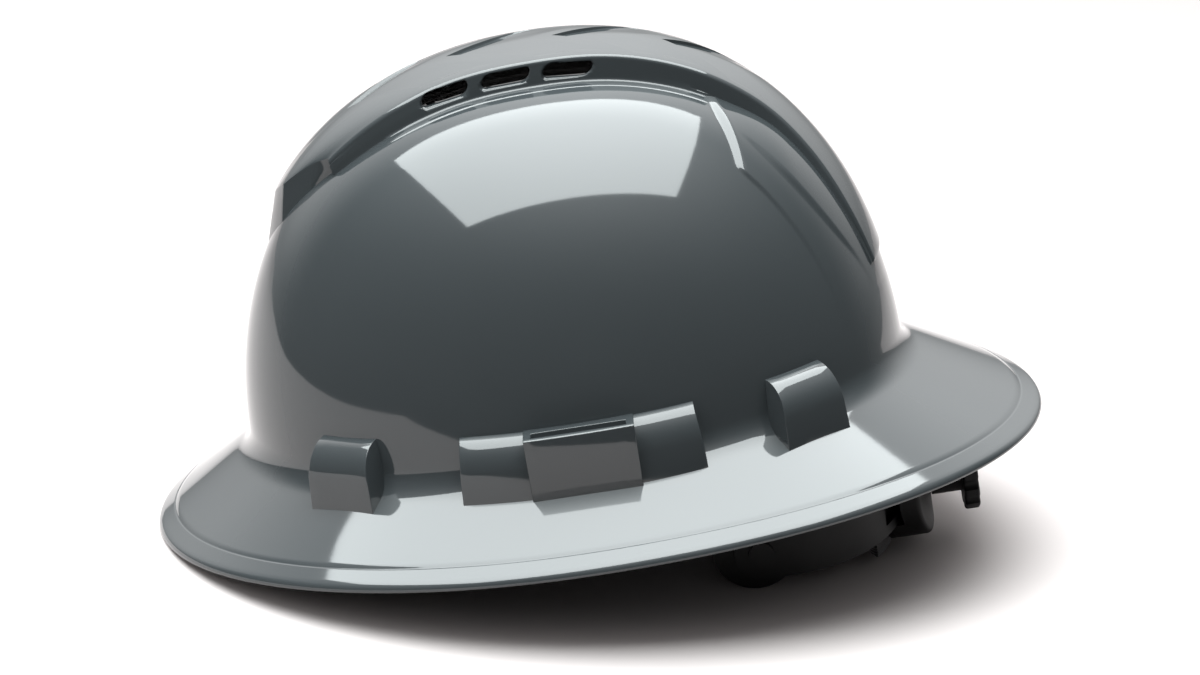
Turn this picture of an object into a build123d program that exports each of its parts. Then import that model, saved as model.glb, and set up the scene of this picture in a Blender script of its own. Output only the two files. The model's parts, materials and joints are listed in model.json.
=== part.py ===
from build123d import *
import os
from math import asin, atan2, cos, degrees, hypot, pi, radians, sin, sqrt, tan

# Full brim hard hat with a four point suspension and a ratchet nape strap.
# Millimetres. Every piece is drawn in the hat's own frame: the crown is up (+Z), the wearer looks
# along -Y, +X is the wearer's left, and the origin is the centre of the oval where dome meets brim.
# At the end everything is leaned back as one, the way the hat lies on a table.

# Dome: an oval whose side profile and height follow one rounded power curve
dome_half_width = 100.0
dome_half_length = 125.0
dome_height = 127.0
dome_profile_powers = (2.41, 2.01)
dome_profile_points = 10
shell_wall = 2.5
crown_wall = 4.0

# Brim: constant slope all round, trimmed by an upright egg shaped cut
brim_slope_angle = 30.5
brim_side_reach = 38.4
brim_front_reach = 40.4
brim_rear_reach = 48.9
brim_blank_reach = 54.0
junction_round = 12.0
lip_round = 1.2
score_inset = 7.0
score_width = 0.8
score_depth = 0.35

# Crest: the raised hollow band over the centre line, given at side view angles from the front foot
crest_half_width = 28.0
crest_rise = 8.9
crest_wall = 2.5
crest_wall_lean = 0.8
crest_root = 1.0
crest_hollow_depth = 9.0
crest_turns = (41, 48, 56, 68, 80, 91, 103, 113, 123, 131, 140, 151, 162)
crest_width_shares = (0.42, 0.77, 0.97, 1.05, 1.02, 1.0, 0.92, 0.87, 0.83, 0.83, 0.90, 0.98, 0.95)
crest_rise_shares = (0.56, 0.66, 0.75, 0.88, 0.97, 1.0, 1.0, 0.93, 0.82, 0.71, 0.55, 0.37, 0.20)

# Vents in the crest's side walls
vent_count = 3
vent_length = 17.5
vent_height = 5.2
vent_slant = 2.4
vent_round = 1.6
vent_pitch = 22.8
vent_first_y = -28.5
vent_lift = 5.4
vent_cut_reach = 10.0

# Shallow arrow steps along the top of the crest
chevron_count = 4
chevron_pitch = 38.5
chevron_first_y = -64.5
chevron_run = 27.0
chevron_half_width = 22.0
chevron_sweep_share = 1.2
chevron_depth = 1.1
chevron_across_shares = (-0.1, 0.5, 1.0)
chevron_depth_shares = (1.0, 0.8, 0.25)

# Sunken panels on the rear flanks: a sharp step in front, fading out towards the rear
panel_depth = 2.2
panel_wall_lean = 0.5
panel_turns = (122.5, 126, 129, 135, 143, 152, 159, 166)
panel_inner_shares = (0.32, 0.34, 0.355, 0.38, 0.39, 0.37, 0.33, 0.29)
panel_outer_shares = (0.335, 0.42, 0.50, 0.515, 0.53, 0.54, 0.546, 0.548)
panel_depth_shares = (1.0, 0.95, 0.9, 0.77, 0.55, 0.32, 0.11, -0.09)

# Socket blocks for the suspension keys, at four places round the foot of the dome
socket_turn_angle = 40.5
socket_top = 18.0
socket_shoulder = 4.0
socket_out = 9.5
socket_foot_out = 10.5
socket_top_width = 24.0
socket_foot_width = 28.0
socket_edge_round = 1.2
block_foot = 13.0
block_inset = 4.0

# Accessory sleeves on both sides
rail_front_y = -40.0
rail_rear_y = 44.0
rail_out = 7.5
rail_foot_out = 8.5
rail_flare = 2.0
sleeve_front_y = -17.0
sleeve_rear_y = 22.5
sleeve_out = 10.5
sleeve_top_round = 2.5
accessory_slot_width = 34.0
accessory_slot_gap = 5.0
accessory_slot_inset = 3.0
accessory_slot_depth = 17.0

# Suspension keys: a blade in the socket, an arm inwards and a plate that carries the straps
key_clearance = 0.3
key_blade_width = 18.0
key_blade_gap = 2.2
key_blade_thickness = 3.6
key_blade_top = 9.0
key_arm_thickness = 3.2
key_arm_width = 12.0
key_arm_drop = 13.0
key_reach = 21.0
key_plate_thickness = 2.4
key_plate_width = 25.0
key_plate_top = 11.0
key_plate_drop = 18.5
strap_window_height = 3.2
strap_bar_height = 3.8
stud_radius = 2.2
stud_head_radius = 3.6
stud_head_thickness = 1.4
stud_drop = 14.0

# Crown straps of webbing
strap_width = 20.0
strap_thickness = 1.4
strap_crown_height = 92.0
strap_crossing_gap = 1.2
strap_loop_thickness = 6.0
strap_loop_below = 4.2
strap_tail_height = 6.0

# Headband
band_gap_to_dome = 24.0
band_thickness = 2.2
band_top = -12.0
band_bottom = -40.0
band_open_y = 80.0
tab_width = 14.0
tab_top = -3.0
height_travel = 5.0
band_slot_width = 4.0
band_slot_height = 14.0
band_slot_angles = (-75.0, -62.0, -28.0, -14.0, 0.0, 14.0)
lobe_plate_x = 64.5
lobe_centre_y = 58.0
lobe_centre_drop = 51.0
lobe_radius = 16.0
lobe_root_y = 50.0
lobe_root_top = -16.0

# Brow pad
brow_pad_thickness = 5.0
brow_pad_height = 24.0
brow_pad_rear_y = -34.0
brow_pad_round = 1.8
soft_clearance = 0.3

# Nape straps: two strips with a toothed window each
pivot_y = 60.0
pivot_drop = 53.0
pivot_disc_radius = 10.0
rivet_radius = 2.5
rivet_head_radius = 4.6
rivet_head_thickness = 1.2
running_gap = 0.3
nape_strip_thickness = 1.8
nape_strip_height = 20.0
nape_bend_y = 72.0
nape_bend_depth = 46.0
nape_drop = 53.0
nape_strip_tip = 22.0

# Rack and pinion
pinion_teeth = 8
pinion_pitch_radius = 5.0
tooth_addendum = 0.9
tooth_dedendum = 1.1
tooth_backlash = 0.3
pinion_shaft_radius = 3.5
bore_clearance = 0.08
window_clearance = 0.35
tighten_travel = 36.0
loosen_travel = 6.0

# Ratchet housing
housing_half_width = 36.0
housing_height = 40.0
housing_depth = 7.0
housing_edge_round = 2.0
base_plate_thickness = 1.8
screw_radius = 1.3
screw_head_radius = 2.5
screw_head_thickness = 0.8
screw_x = 22.0
screw_rise = 15.0
screw_length = 9.0

# Click ring: teeth in the housing and the spring that rides over them
click_teeth = 20
click_tip_radius = 10.0
click_root_radius = 10.9
click_depth = 3.0
click_spring_thickness = 1.6
click_nose_radius = 9.7
click_hub_radius = 6.2
click_arm_width = 1.2

# Knob
knob_neck_radius = 11.5
knob_neck_length = 11.7
knob_radius = 19.0
knob_thickness = 5.8
knob_scallops = 14
knob_scallop_radius = 2.2
knob_edge_round = 1.0
knob_socket_depth = 9.0
cap_screw_radius = 1.5
cap_screw_head_radius = 3.6
cap_screw_head_thickness = 2.2

# Nape pad
nape_pad_thickness = 8.0
nape_pad_half_width = 40.0
nape_pad_height = 38.0
nape_pad_round = 2.6

overrun = 30.0


def slope_drop(reach):
    """Height lost along the brim over a level distance."""
    return reach * tan(radians(brim_slope_angle))


def wall_shift():
    """Drop of the inner dome and brim meeting line under the outer one."""
    slope = radians(brim_slope_angle)
    return shell_wall * (1 / cos(slope) - tan(slope))


def dome_solid(half_width, half_length, height, foot):
    """A closed dome: one quarter profile turned about Z, then narrowed to an oval."""
    plan_power, rise_power = dome_profile_powers
    points = []
    for step in range(dome_profile_points + 1):
        turn = (1 - step / dome_profile_points) * pi / 2
        radius = half_length * abs(cos(turn)) ** (2 / plan_power)
        points.append((radius, 0, foot + height * sin(turn) ** (2 / rise_power)))
    rim = Spline(*points, tangents=[(1, 0, 0), (0, 0, -1)])
    base = (0, 0, foot)
    profile = make_face(Curve() + [rim, Line(points[-1], base), Line(base, points[0])])
    return scale(revolve(profile, Axis.Z), by=(half_width / half_length, 1, 1))


def brim_cone(half_width, half_length, foot, reach):
    """The solid under a brim of constant slope."""
    upper = Pos(0, 0, foot) * Ellipse(half_width, half_length)
    lower = Pos(0, 0, foot - slope_drop(reach)) * Ellipse(half_width + reach, half_length + reach)
    return loft([upper, lower], ruled=True)


def hat_form(half_width, half_length, height, foot, reach, blend):
    """Dome and brim as one solid, with a rounded meeting line."""
    form = dome_solid(half_width, half_length, height, foot)
    form += brim_cone(half_width, half_length, foot, reach)
    tolerance = shell_wall / 100
    meeting = []
    for edge in form.edges():
        box = edge.bounding_box()
        if abs(box.max.Z - foot) < tolerance and abs(box.min.Z - foot) < tolerance:
            meeting.append(edge)
    return fillet(meeting, blend)


def egg(inset=0.0):
    """The brim's outline seen from above: two half ovals of different length."""
    side = dome_half_width + brim_side_reach - inset
    front = dome_half_length + brim_front_reach - inset
    rear = dome_half_length + brim_rear_reach - inset
    rear_half = EllipticalCenterArc((0, 0), side, rear, start_angle=0, arc_size=180)
    front_half = EllipticalCenterArc((0, 0), side, front, start_angle=180, arc_size=180)
    return make_face(Curve() + [rear_half, front_half])


def column(face, low, high):
    """A flat plan face as an upright prism."""
    return extrude(Pos(0, 0, low) * face, amount=high - low)


def left_side():
    """Everything on the wearer's left."""
    size = 4 * dome_half_length
    return Pos(size / 2, 0, 0) * Box(size, size, size)


def both_sides(solid):
    """A piece and its mirror image across the centre plane."""
    return solid + mirror(solid, about=Plane.YZ)


outer_form = hat_form(dome_half_width, dome_half_length, dome_height, 0, brim_blank_reach, junction_round)
inner_form = hat_form(
    dome_half_width - shell_wall, dome_half_length - shell_wall,
    dome_height - crown_wall + wall_shift(), -wall_shift(),
    brim_blank_reach + 2 * shell_wall, junction_round + shell_wall)
below_brim = -slope_drop(brim_blank_reach) - overrun
above_crown = dome_height + crest_rise + overrun


def brim_score():
    """The fine line scored round the brim, a little inside its edge."""
    ring = column(egg(score_inset) - egg(score_inset + score_width), below_brim, above_crown)
    cone = brim_cone(dome_half_width, dome_half_length, 0, brim_blank_reach)
    return ring & (cone - Pos(0, 0, -score_depth) * cone)


def trimmed_shell():
    """The plain moulding: outer form less inner form, cut to the egg outline, lip rounded."""
    shell = (outer_form - inner_form) & column(egg(), below_brim, above_crown)
    shell = shell - brim_score()
    lip = []
    highest = -slope_drop(brim_side_reach) + shell_wall / 10
    for edge in shell.edges():
        middle = edge.position_at(0.5)
        side = dome_half_width + brim_side_reach
        length = dome_half_length + (brim_rear_reach if middle.Y > 0 else brim_front_reach)
        on_edge = abs(hypot(middle.X / side, middle.Y / length) - 1) < shell_wall / side / 10
        if on_edge and edge.bounding_box().max.Z < highest:
            lip.append(edge)
    return fillet(lip, lip_round)


def skin_reach(x, turn_angle):
    """Distance from the left to right axis out to the dome's skin, at a side view angle."""
    plan_power, rise_power = dome_profile_powers
    turn = radians(turn_angle)
    near, far = 0.0, dome_half_length + dome_height
    while far - near > shell_wall / 1e6:
        reach = (near + far) / 2
        plan = hypot(x / dome_half_width, reach * cos(turn) / dome_half_length)
        if plan ** plan_power + abs(reach * sin(turn) / dome_height) ** rise_power < 1:
            near = reach
        else:
            far = reach
    return near


def side_view_place(turn_angle):
    """Upright section plane through the left to right axis: X across, Y away from the axis."""
    turn = radians(turn_angle)
    return Plane(origin=(0, 0, 0), x_dir=(1, 0, 0), z_dir=(0, -sin(turn), -cos(turn)))


def skin_band(turn_angle, low_span, high_span, low_lift, high_lift):
    """Section between two lines that follow the dome's skin at given heights over it."""
    lines = []
    for span, lift in ((low_span, low_lift), (high_span, high_lift)):
        points = []
        for x in (span[0], (span[0] + span[1]) / 2, span[1]):
            points.append((x, skin_reach(x, turn_angle) + lift))
        lines.append(ThreePointArc(*points))
    low, high = lines
    ends = [Line(low @ 0, high @ 0), Line(low @ 1, high @ 1)]
    return side_view_place(turn_angle) * make_face(Curve() + [low, high] + ends)


def crest_rise_at(turn_angle):
    """Height of the crest over the dome's skin at a side view angle."""
    stations = list(zip(crest_turns, crest_rise_shares))
    for (start, low), (end, high) in zip(stations, stations[1:]):
        if start <= turn_angle <= end:
            return crest_rise * (low + (high - low) * (turn_angle - start) / (end - start))
    return 0.0


def crest_half():
    """The left half of the raised band, rooted in the dome's wall."""
    sections = []
    for turn_angle, width_share, rise_share in zip(crest_turns, crest_width_shares, crest_rise_shares):
        foot = crest_half_width * width_share
        sections.append(skin_band(
            turn_angle, (0, foot), (0, foot - crest_wall_lean), -crest_root, crest_rise * rise_share))
    return loft(sections)


def crest_hollow_half():
    """The space under the left half of the band, down into the dome."""
    sections = []
    for turn_angle, width_share, rise_share in zip(crest_turns, crest_width_shares, crest_rise_shares):
        foot = crest_half_width * width_share - crest_wall
        sections.append(skin_band(
            turn_angle, (0, foot), (0, foot - crest_wall_lean), -crest_hollow_depth,
            crest_rise * rise_share - crest_wall))
    return loft(sections)


def side_view_angle(y):
    """Side view angle at which the crown's height stands over a given place."""
    return degrees(atan2(dome_height, -y))


def crest_wall_point(y):
    """A point of the side view at the height of the vents."""
    turn_angle = side_view_angle(y)
    height = skin_reach(crest_half_width, turn_angle) * sin(radians(turn_angle)) + vent_lift
    return y, height


def vent_cutter(number):
    """A rounded slanting slot through the left wall of the crest, turned to follow its curve."""
    middle_y = vent_first_y + number * vent_pitch
    front = crest_wall_point(middle_y - vent_length / 2)
    rear = crest_wall_point(middle_y + vent_length / 2)
    tilt = degrees(atan2(rear[1] - front[1], vent_length))
    half, rise, slant = vent_length / 2, vent_height / 2, vent_slant / 2
    outline = make_face(Polyline(
        (-half - slant, -rise), (half - slant, -rise), (half + slant, rise), (-half + slant, rise),
        close=True))
    outline = fillet(outline.vertices(), vent_round)
    place = Pos(*crest_wall_point(middle_y)) * Rot(Z=tilt)
    slot = Plane.YZ * (place * outline)
    return extrude(Pos(crest_half_width, 0, 0) * slot, amount=vent_cut_reach, both=True)


def chevron_cutter(number):
    """The left half of one arrow step: sharp in front, its flat floor running out behind."""
    tip_y = chevron_first_y + number * chevron_pitch
    sections = []
    for across, share in zip(chevron_across_shares, chevron_depth_shares):
        x = chevron_half_width * across
        start_y = tip_y + x * chevron_sweep_share
        floor = []
        for y, lift in ((start_y, -chevron_depth * share), (start_y + chevron_run, 0)):
            turn_angle = side_view_angle(y)
            reach = skin_reach(x, turn_angle) + crest_rise_at(turn_angle)
            floor.append((-reach * cos(radians(turn_angle)), reach * sin(radians(turn_angle)) + lift))
        top = [(y, z + crest_rise) for y, z in reversed(floor)]
        sections.append(Plane.YZ.offset(x) * make_face(Polyline(*(floor + top), close=True)))
    return loft(sections)


def panel_cutter():
    """The sunken panel on the left rear flank."""
    sections = []
    for turn_angle, inner, outer, depth in zip(
            panel_turns, panel_inner_shares, panel_outer_shares, panel_depth_shares):
        low = (dome_half_width * inner, dome_half_width * outer)
        high = (low[0] - panel_wall_lean, low[1] + panel_wall_lean)
        sections.append(skin_band(turn_angle, low, high, -panel_depth * depth, 2 * panel_depth))
    return loft(sections)


def rim_place(turn_angle):
    """Frame on the foot of the dome: X outwards, Y along the rim, Z up."""
    turn = radians(turn_angle)
    x = dome_half_width * cos(turn)
    y = dome_half_length * sin(turn)
    out = Vector(cos(turn) / dome_half_width, sin(turn) / dome_half_length, 0).normalized()
    return Location(Plane(origin=(x, y, 0), x_dir=out, z_dir=(0, 0, 1)))


def rounded_block(low_y, high_y, out, foot_out, flare):
    """A block on the foot of the dome with a quarter round top, in a rim frame."""
    shoulder = EllipticalCenterArc(
        (-block_inset, socket_shoulder), out + block_inset, socket_top - socket_shoulder,
        start_angle=0, arc_size=90)
    corners = Polyline(
        (out, socket_shoulder), (foot_out, -block_foot), (-block_inset, -block_foot),
        (-block_inset, socket_top))
    body = extrude(Plane.XZ * make_face(Curve() + [shoulder, corners]), amount=high_y - low_y)
    body = Pos(0, high_y, 0) * body
    front = make_face(Polyline(
        (low_y - flare, -block_foot), (high_y + flare, -block_foot), (high_y, socket_top),
        (low_y, socket_top), close=True))
    span = extrude(Plane.YZ * front, amount=foot_out + overrun, both=True)
    wide = Pos(0, flare, 0) * body + Pos(0, -flare, 0) * body
    return wide & span


def soften(solid, radius, reach):
    """Round the outward edges of a block."""
    chosen = [edge for edge in solid.edges() if edge.bounding_box().max.X > reach]
    return fillet(chosen, radius)


def socket_block():
    """One key socket with slightly flared sides."""
    half = socket_top_width / 2
    block = rounded_block(-half, half, socket_out, socket_foot_out, (socket_foot_width - socket_top_width) / 2)
    return soften(block, socket_edge_round, socket_out / 2)


def socket_pocket():
    """The pocket that a key's blade goes up into, open at the underside of the brim."""
    width = key_blade_width + 2 * key_clearance
    gap = key_blade_thickness + 2 * key_clearance
    top = key_blade_top + key_clearance
    low = -block_foot - overrun
    middle = key_blade_gap + key_blade_thickness / 2
    return Pos(middle, 0, (top + low) / 2) * Box(gap, width, top - low)


def accessory_rail():
    """The long side block with its prouder sleeve."""
    rail = rounded_block(rail_front_y, rail_rear_y, rail_out, rail_foot_out, rail_flare)
    rail = soften(rail, socket_edge_round, rail_out / 2)
    length = sleeve_rear_y - sleeve_front_y
    height = socket_top + block_foot
    middle_y = (sleeve_rear_y + sleeve_front_y) / 2
    middle_z = (socket_top - block_foot) / 2
    sleeve = Pos((sleeve_out - block_inset) / 2, middle_y, middle_z) * Box(
        sleeve_out + block_inset, length, height)
    top_edge = sleeve.edges().filter_by(Axis.Y).sort_by(Axis.Z)[-2:].sort_by(Axis.X)[-1]
    sleeve = fillet(top_edge, sleeve_top_round)
    return rail + sleeve


def accessory_slot():
    """The slot in a sleeve, open upwards."""
    middle_y = (sleeve_rear_y + sleeve_front_y) / 2
    middle_x = accessory_slot_inset + accessory_slot_gap / 2
    top = socket_top + overrun
    low = socket_top - accessory_slot_depth
    return Pos(middle_x, middle_y, (top + low) / 2) * Box(
        accessory_slot_gap, accessory_slot_width, top - low)


def key_angles():
    """Rim angles of the four keys, by name."""
    turn = socket_turn_angle
    return {"front_left": -turn, "rear_left": turn, "front_right": 180 + turn, "rear_right": 180 - turn}


def hard_hat_shell():
    """The whole moulding: its left half is worked out and then mirrored."""
    half = trimmed_shell() & left_side()
    half += crest_half()
    half -= crest_hollow_half()
    for number in range(vent_count):
        half -= vent_cutter(number)
    for number in range(chevron_count):
        half -= chevron_cutter(number)
    half -= panel_cutter()
    for key_name, turn_angle in key_angles().items():
        if key_name.endswith("left"):
            place = rim_place(turn_angle)
            half += place * socket_block() - inner_form
            half -= place * socket_pocket()
    half += rim_place(0) * accessory_rail() - inner_form
    half -= rim_place(0) * accessory_slot()
    return both_sides(half)


def suspension_key():
    """One key in a rim frame: blade, arm, plate with a strap bar, and a headed stud."""
    blade_middle = key_blade_gap + key_blade_thickness / 2
    blade_height = key_blade_top + key_arm_drop
    key = Pos(blade_middle, 0, (key_blade_top - key_arm_drop) / 2) * Box(
        key_blade_thickness, key_blade_width, blade_height)
    arm_out = key_blade_gap + key_blade_thickness
    arm_z = -key_arm_drop + key_arm_thickness / 2
    key += Pos((arm_out - key_reach) / 2, 0, arm_z) * Box(
        arm_out + key_reach, key_arm_width, key_arm_thickness)
    plate_x = -key_reach - key_plate_thickness / 2
    plate = Pos(plate_x, 0, (key_plate_top - key_plate_drop) / 2) * Box(
        key_plate_thickness, key_plate_width, key_plate_top + key_plate_drop)
    corners = plate.edges().filter_by(Axis.X)
    plate = fillet(corners, strap_bar_height / 2)
    window_z = key_plate_top - strap_bar_height - strap_window_height / 2
    plate -= Pos(plate_x, 0, window_z) * Box(
        key_plate_thickness * 2, strap_width + 4 * key_clearance, strap_window_height)
    key += plate
    stud_length = band_thickness + 2 * key_clearance
    stud_x = -key_reach - key_plate_thickness
    key += Pos(stud_x, 0, -stud_drop) * Rot(Y=-90) * Cylinder(
        stud_radius, stud_length, align=(Align.CENTER, Align.CENTER, Align.MIN))
    key += Pos(stud_x - stud_length, 0, -stud_drop) * Rot(Y=-90) * Cylinder(
        stud_head_radius, stud_head_thickness, align=(Align.CENTER, Align.CENTER, Align.MIN))
    return key


def strap_loop():
    """The sewn end of a crown strap, wrapped round the bar of a key."""
    plate_x = -key_reach - key_plate_thickness / 2
    bar_z = key_plate_top - strap_bar_height / 2
    height = strap_loop_below + strap_bar_height / 2 + strap_tail_height
    loop = Pos(plate_x, 0, bar_z - strap_loop_below + height / 2) * Box(
        strap_loop_thickness, strap_width, height)
    hole = Box(key_plate_thickness + 2 * soft_clearance, strap_width * 2,
               strap_bar_height + 2 * soft_clearance)
    return fillet(loop.edges().filter_by(Axis.Y), strap_thickness / 2) - Pos(plate_x, 0, bar_z) * hole


def strap_end_place():
    """The point over a key's plate where the single strap starts out of its loop."""
    plate_x = -key_reach - key_plate_thickness / 2
    return (rim_place(socket_turn_angle) * Pos(plate_x, 0, key_plate_top + 2 * soft_clearance)).position


def crown_strap(front_name, rear_name, crown_height):
    """A webbing strap arched over the head between two opposite keys."""
    angles = key_angles()
    end = strap_end_place()
    start_radius = hypot(end.X, end.Y) + strap_thickness / 2
    heading = atan2(end.Y, end.X)
    turn = heading if front_name == "front_right" else pi - heading
    rise = crown_height - end.Z
    outer = EllipticalCenterArc(
        (0, end.Z), start_radius, rise + strap_thickness / 2, start_angle=0, arc_size=180)
    inner = EllipticalCenterArc(
        (0, end.Z), start_radius - strap_thickness, rise - strap_thickness / 2,
        start_angle=0, arc_size=180)
    band = make_face(Curve() + [outer, inner, Line(outer @ 0, inner @ 0), Line(outer @ 1, inner @ 1)])
    arch = extrude(Plane.XZ * band, amount=strap_width / 2, both=True)
    strap = Rot(Z=degrees(turn)) * arch
    for name in (front_name, rear_name):
        strap += rim_place(angles[name]) * strap_loop()
    return strap


# Headband: an oval a fixed gap inside the dome
band_half_width = dome_half_width - band_gap_to_dome
band_half_length = dome_half_length - band_gap_to_dome


def oval_ring(half_width, half_length, thickness):
    """A flat oval ring, outside size given."""
    return Ellipse(half_width, half_length) - Ellipse(half_width - thickness, half_length - thickness)


def behind(y_limit):
    """Everything further back than a given place."""
    size = 4 * dome_half_length
    return Pos(0, y_limit + size / 2, 0) * Box(size, size, size)


def headband():
    """The oval band with four slotted tabs, side slots and the two pivot lobes."""
    ring = oval_ring(band_half_width, band_half_length, band_thickness)
    band = column(ring, band_bottom, band_top) - behind(band_open_y)
    tabs = column(ring, band_top, tab_top)
    slot_height = 2 * (height_travel + stud_radius + key_clearance)
    for turn_angle in key_angles().values():
        place = rim_place(turn_angle) * Pos(-band_gap_to_dome, 0, 0)
        band += tabs & (place * Box(tab_width, tab_width, 2 * overrun))
        slot = Plane.YZ * SlotOverall(slot_height, 2 * (stud_radius + key_clearance), rotation=90)
        band -= place * Pos(0, 0, -stud_drop) * extrude(slot, amount=tab_width, both=True)
    middle_z = (band_top + band_bottom) / 2
    for angle in band_slot_angles:
        turn = radians(angle)
        slot = Plane.YZ * SlotOverall(band_slot_height, band_slot_width, rotation=90)
        cutter = extrude(slot, amount=tab_width, both=True)
        place = Pos(band_half_width * cos(turn), band_half_length * sin(turn), middle_z)
        facing = degrees(atan2(sin(turn) / band_half_length, cos(turn) / band_half_width))
        band -= both_sides(place * Rot(Z=facing) * cutter)
    circle = Pos(lobe_centre_y, -lobe_centre_drop) * CenterArc((0, 0), lobe_radius, 0, 360)
    root = Line((lobe_root_y, lobe_root_top), (lobe_root_y, band_bottom))
    outline = make_hull(circle.edges() + root.edges())
    lobe = extrude(Plane.YZ * outline, amount=band_thickness / 2, both=True)
    lobe = Pos(lobe_plate_x, 0, 0) * lobe
    lobe -= Pos(lobe_plate_x, pivot_y, -pivot_drop) * Rot(Y=90) * Cylinder(rivet_radius, overrun)
    return band + both_sides(lobe)


def brow_pad():
    """The soft pad behind the front of the band."""
    inset = band_thickness + soft_clearance + stud_head_thickness + key_clearance
    ring = oval_ring(band_half_width - inset, band_half_length - inset, brow_pad_thickness)
    middle = (band_top + band_bottom) / 2
    pad = column(ring, middle - brow_pad_height / 2, middle + brow_pad_height / 2)
    pad -= behind(brow_pad_rear_y)
    return fillet(pad.edges(), brow_pad_round)


def pivot_rivet():
    """Rivet through the left lobe and nape strap."""
    inner = lobe_plate_x - band_thickness / 2 - rivet_head_thickness
    strip_out = nape_strip_x() + nape_strip_thickness / 2
    outer = strip_out + running_gap
    place = Pos(0, pivot_y, -pivot_drop) * Rot(Y=90)
    low = (Align.CENTER, Align.CENTER, Align.MIN)
    rivet = place * Pos(0, 0, inner) * Cylinder(rivet_radius, outer - inner, align=low)
    rivet += place * Pos(0, 0, inner) * Cylinder(rivet_head_radius, rivet_head_thickness, align=low)
    rivet += place * Pos(0, 0, outer) * Cylinder(rivet_head_radius, rivet_head_thickness, align=low)
    return rivet


def nape_strip_x():
    """Distance of a nape strap's straight part from the centre plane."""
    return lobe_plate_x + band_thickness / 2 + running_gap + nape_strip_thickness / 2


def nape_oval(depth, half_width):
    """Plan oval of the nape bend at a given depth behind the bend's start."""
    return Pos(0, nape_bend_y) * Ellipse(half_width, depth)


def nape_layer(inner_depth, outer_depth, low, high):
    """An upright layer of the nape bend between two depths, evenly spaced from the strips."""
    inner = nape_oval(inner_depth, nape_strip_x() + inner_depth - nape_bend_depth)
    outer = nape_oval(outer_depth, nape_strip_x() + outer_depth - nape_bend_depth)
    return column(outer - inner, low, high) & behind(nape_bend_y)


def nape_strip_layer(depth, low, high):
    """One strip round the nape, starting in line with the straight part at the lobe."""
    half = nape_strip_thickness / 2
    inner = nape_oval(depth - half, nape_strip_x() - half)
    outer = nape_oval(depth + half, nape_strip_x() + half)
    return column(outer - inner, low, high) & behind(nape_bend_y)


strip_gap = nape_strip_thickness + 2 * running_gap


def strip_depth(layer):
    """Depth of the middle of the inner (0) or outer (1) strip."""
    return nape_bend_depth - strip_gap / 2 + layer * strip_gap


def tooth_outline(radius_line, tips_up):
    """One rack tooth gap row as a cutter above or below the window."""
    pitch = 2 * pi * pinion_pitch_radius / pinion_teeth
    sign = 1 if tips_up else -1
    tip = sign * (radius_line - tooth_addendum)
    root = sign * (radius_line + tooth_dedendum)
    half = pitch / 4
    lean = half / 2
    return make_face(Polyline(
        (-half - lean, tip), (half + lean, tip), (half - lean, root), (-half + lean, root), close=True))


def nape_strap(layer):
    """The left nape strap: pivot disc, strip round the nape and a toothed window."""
    half = nape_strip_height / 2
    low, high = -nape_drop - half, -nape_drop + half
    strip = nape_strip_layer(strip_depth(layer), low, high)
    size = 4 * dome_half_length
    strip &= Pos(size / 2 - nape_strip_tip, 0, 0) * Box(size, size, size)
    run = nape_bend_y - pivot_y
    return strip + Pos(nape_strip_x(), pivot_y + run / 2, -nape_drop) * Box(
        nape_strip_thickness, run, nape_strip_height)


def rack_window(tips_up):
    """The toothed window of a nape strap, as a cutter along Y."""
    reach = pinion_pitch_radius + tooth_addendum + window_clearance
    short_end = loosen_travel + reach
    long_end = tighten_travel + reach
    sign = 1 if tips_up else -1
    plain = -sign * reach
    toothed = sign * (pinion_pitch_radius - tooth_addendum)
    window = make_face(Polyline(
        (-short_end, plain), (long_end, plain), (long_end, toothed), (-short_end, toothed), close=True))
    pitch = 2 * pi * pinion_pitch_radius / pinion_teeth
    first = -int((short_end - pitch) / pitch)
    last = int((long_end - pitch) / pitch)
    for number in range(first, last + 1):
        window += Pos(number * pitch) * tooth_outline(pinion_pitch_radius, tips_up)
    cutter = extrude(Plane.XZ * window, amount=overrun, both=True)
    return Pos(0, nape_bend_y + nape_bend_depth, -nape_drop) * cutter


def left_nape_strap():
    """Inner strip, teeth along the upper edge of its window."""
    strap = nape_strap(0) - rack_window(True)
    return finish_strap(strap)


def right_nape_strap():
    """Outer strip, teeth along the lower edge, mirrored to the right side."""
    strap = nape_strap(1) - rack_window(False)
    return mirror(finish_strap(strap), about=Plane.YZ)


def finish_strap(strap):
    """Add the pivot disc and its rivet hole."""
    disc = Pos(nape_strip_x(), pivot_y, -pivot_drop) * Rot(Y=90) * Cylinder(
        pivot_disc_radius, nape_strip_thickness)
    hole = Pos(nape_strip_x(), pivot_y, -pivot_drop) * Rot(Y=90) * Cylinder(
        rivet_radius + bore_clearance, overrun)
    return strap + disc - hole


# Depths of the layers at the nape, from the head outwards
straps_inner = strip_depth(0) - nape_strip_thickness / 2 - 2 * running_gap
straps_outer = strip_depth(1) + nape_strip_thickness / 2 + 2 * running_gap
plate_outer = straps_inner - running_gap
plate_inner = plate_outer - base_plate_thickness
housing_outer = straps_outer + housing_depth
housing_rear_y = nape_bend_y + housing_outer


def housing_column():
    """The long rounded outline of the ratchet housing, as a prism along Y."""
    face = RectangleRounded(2 * housing_half_width, housing_height, housing_height / 2 - running_gap)
    return Pos(0, nape_bend_y, -nape_drop) * extrude(Plane.XZ * face, amount=-2 * dome_half_length)


def screw_spots():
    """Four screw places round the housing."""
    spots = []
    for x in (-screw_x, screw_x):
        for rise in (-screw_rise, screw_rise):
            spots.append((x, rise - nape_drop))
    return spots


def along_y(radius, start, end, x=0.0, z=0.0):
    """A round bar along Y."""
    bar = Cylinder(radius, end - start, align=(Align.CENTER, Align.CENTER, Align.MIN))
    return Pos(x, start, z) * Rot(X=-90) * bar


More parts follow.
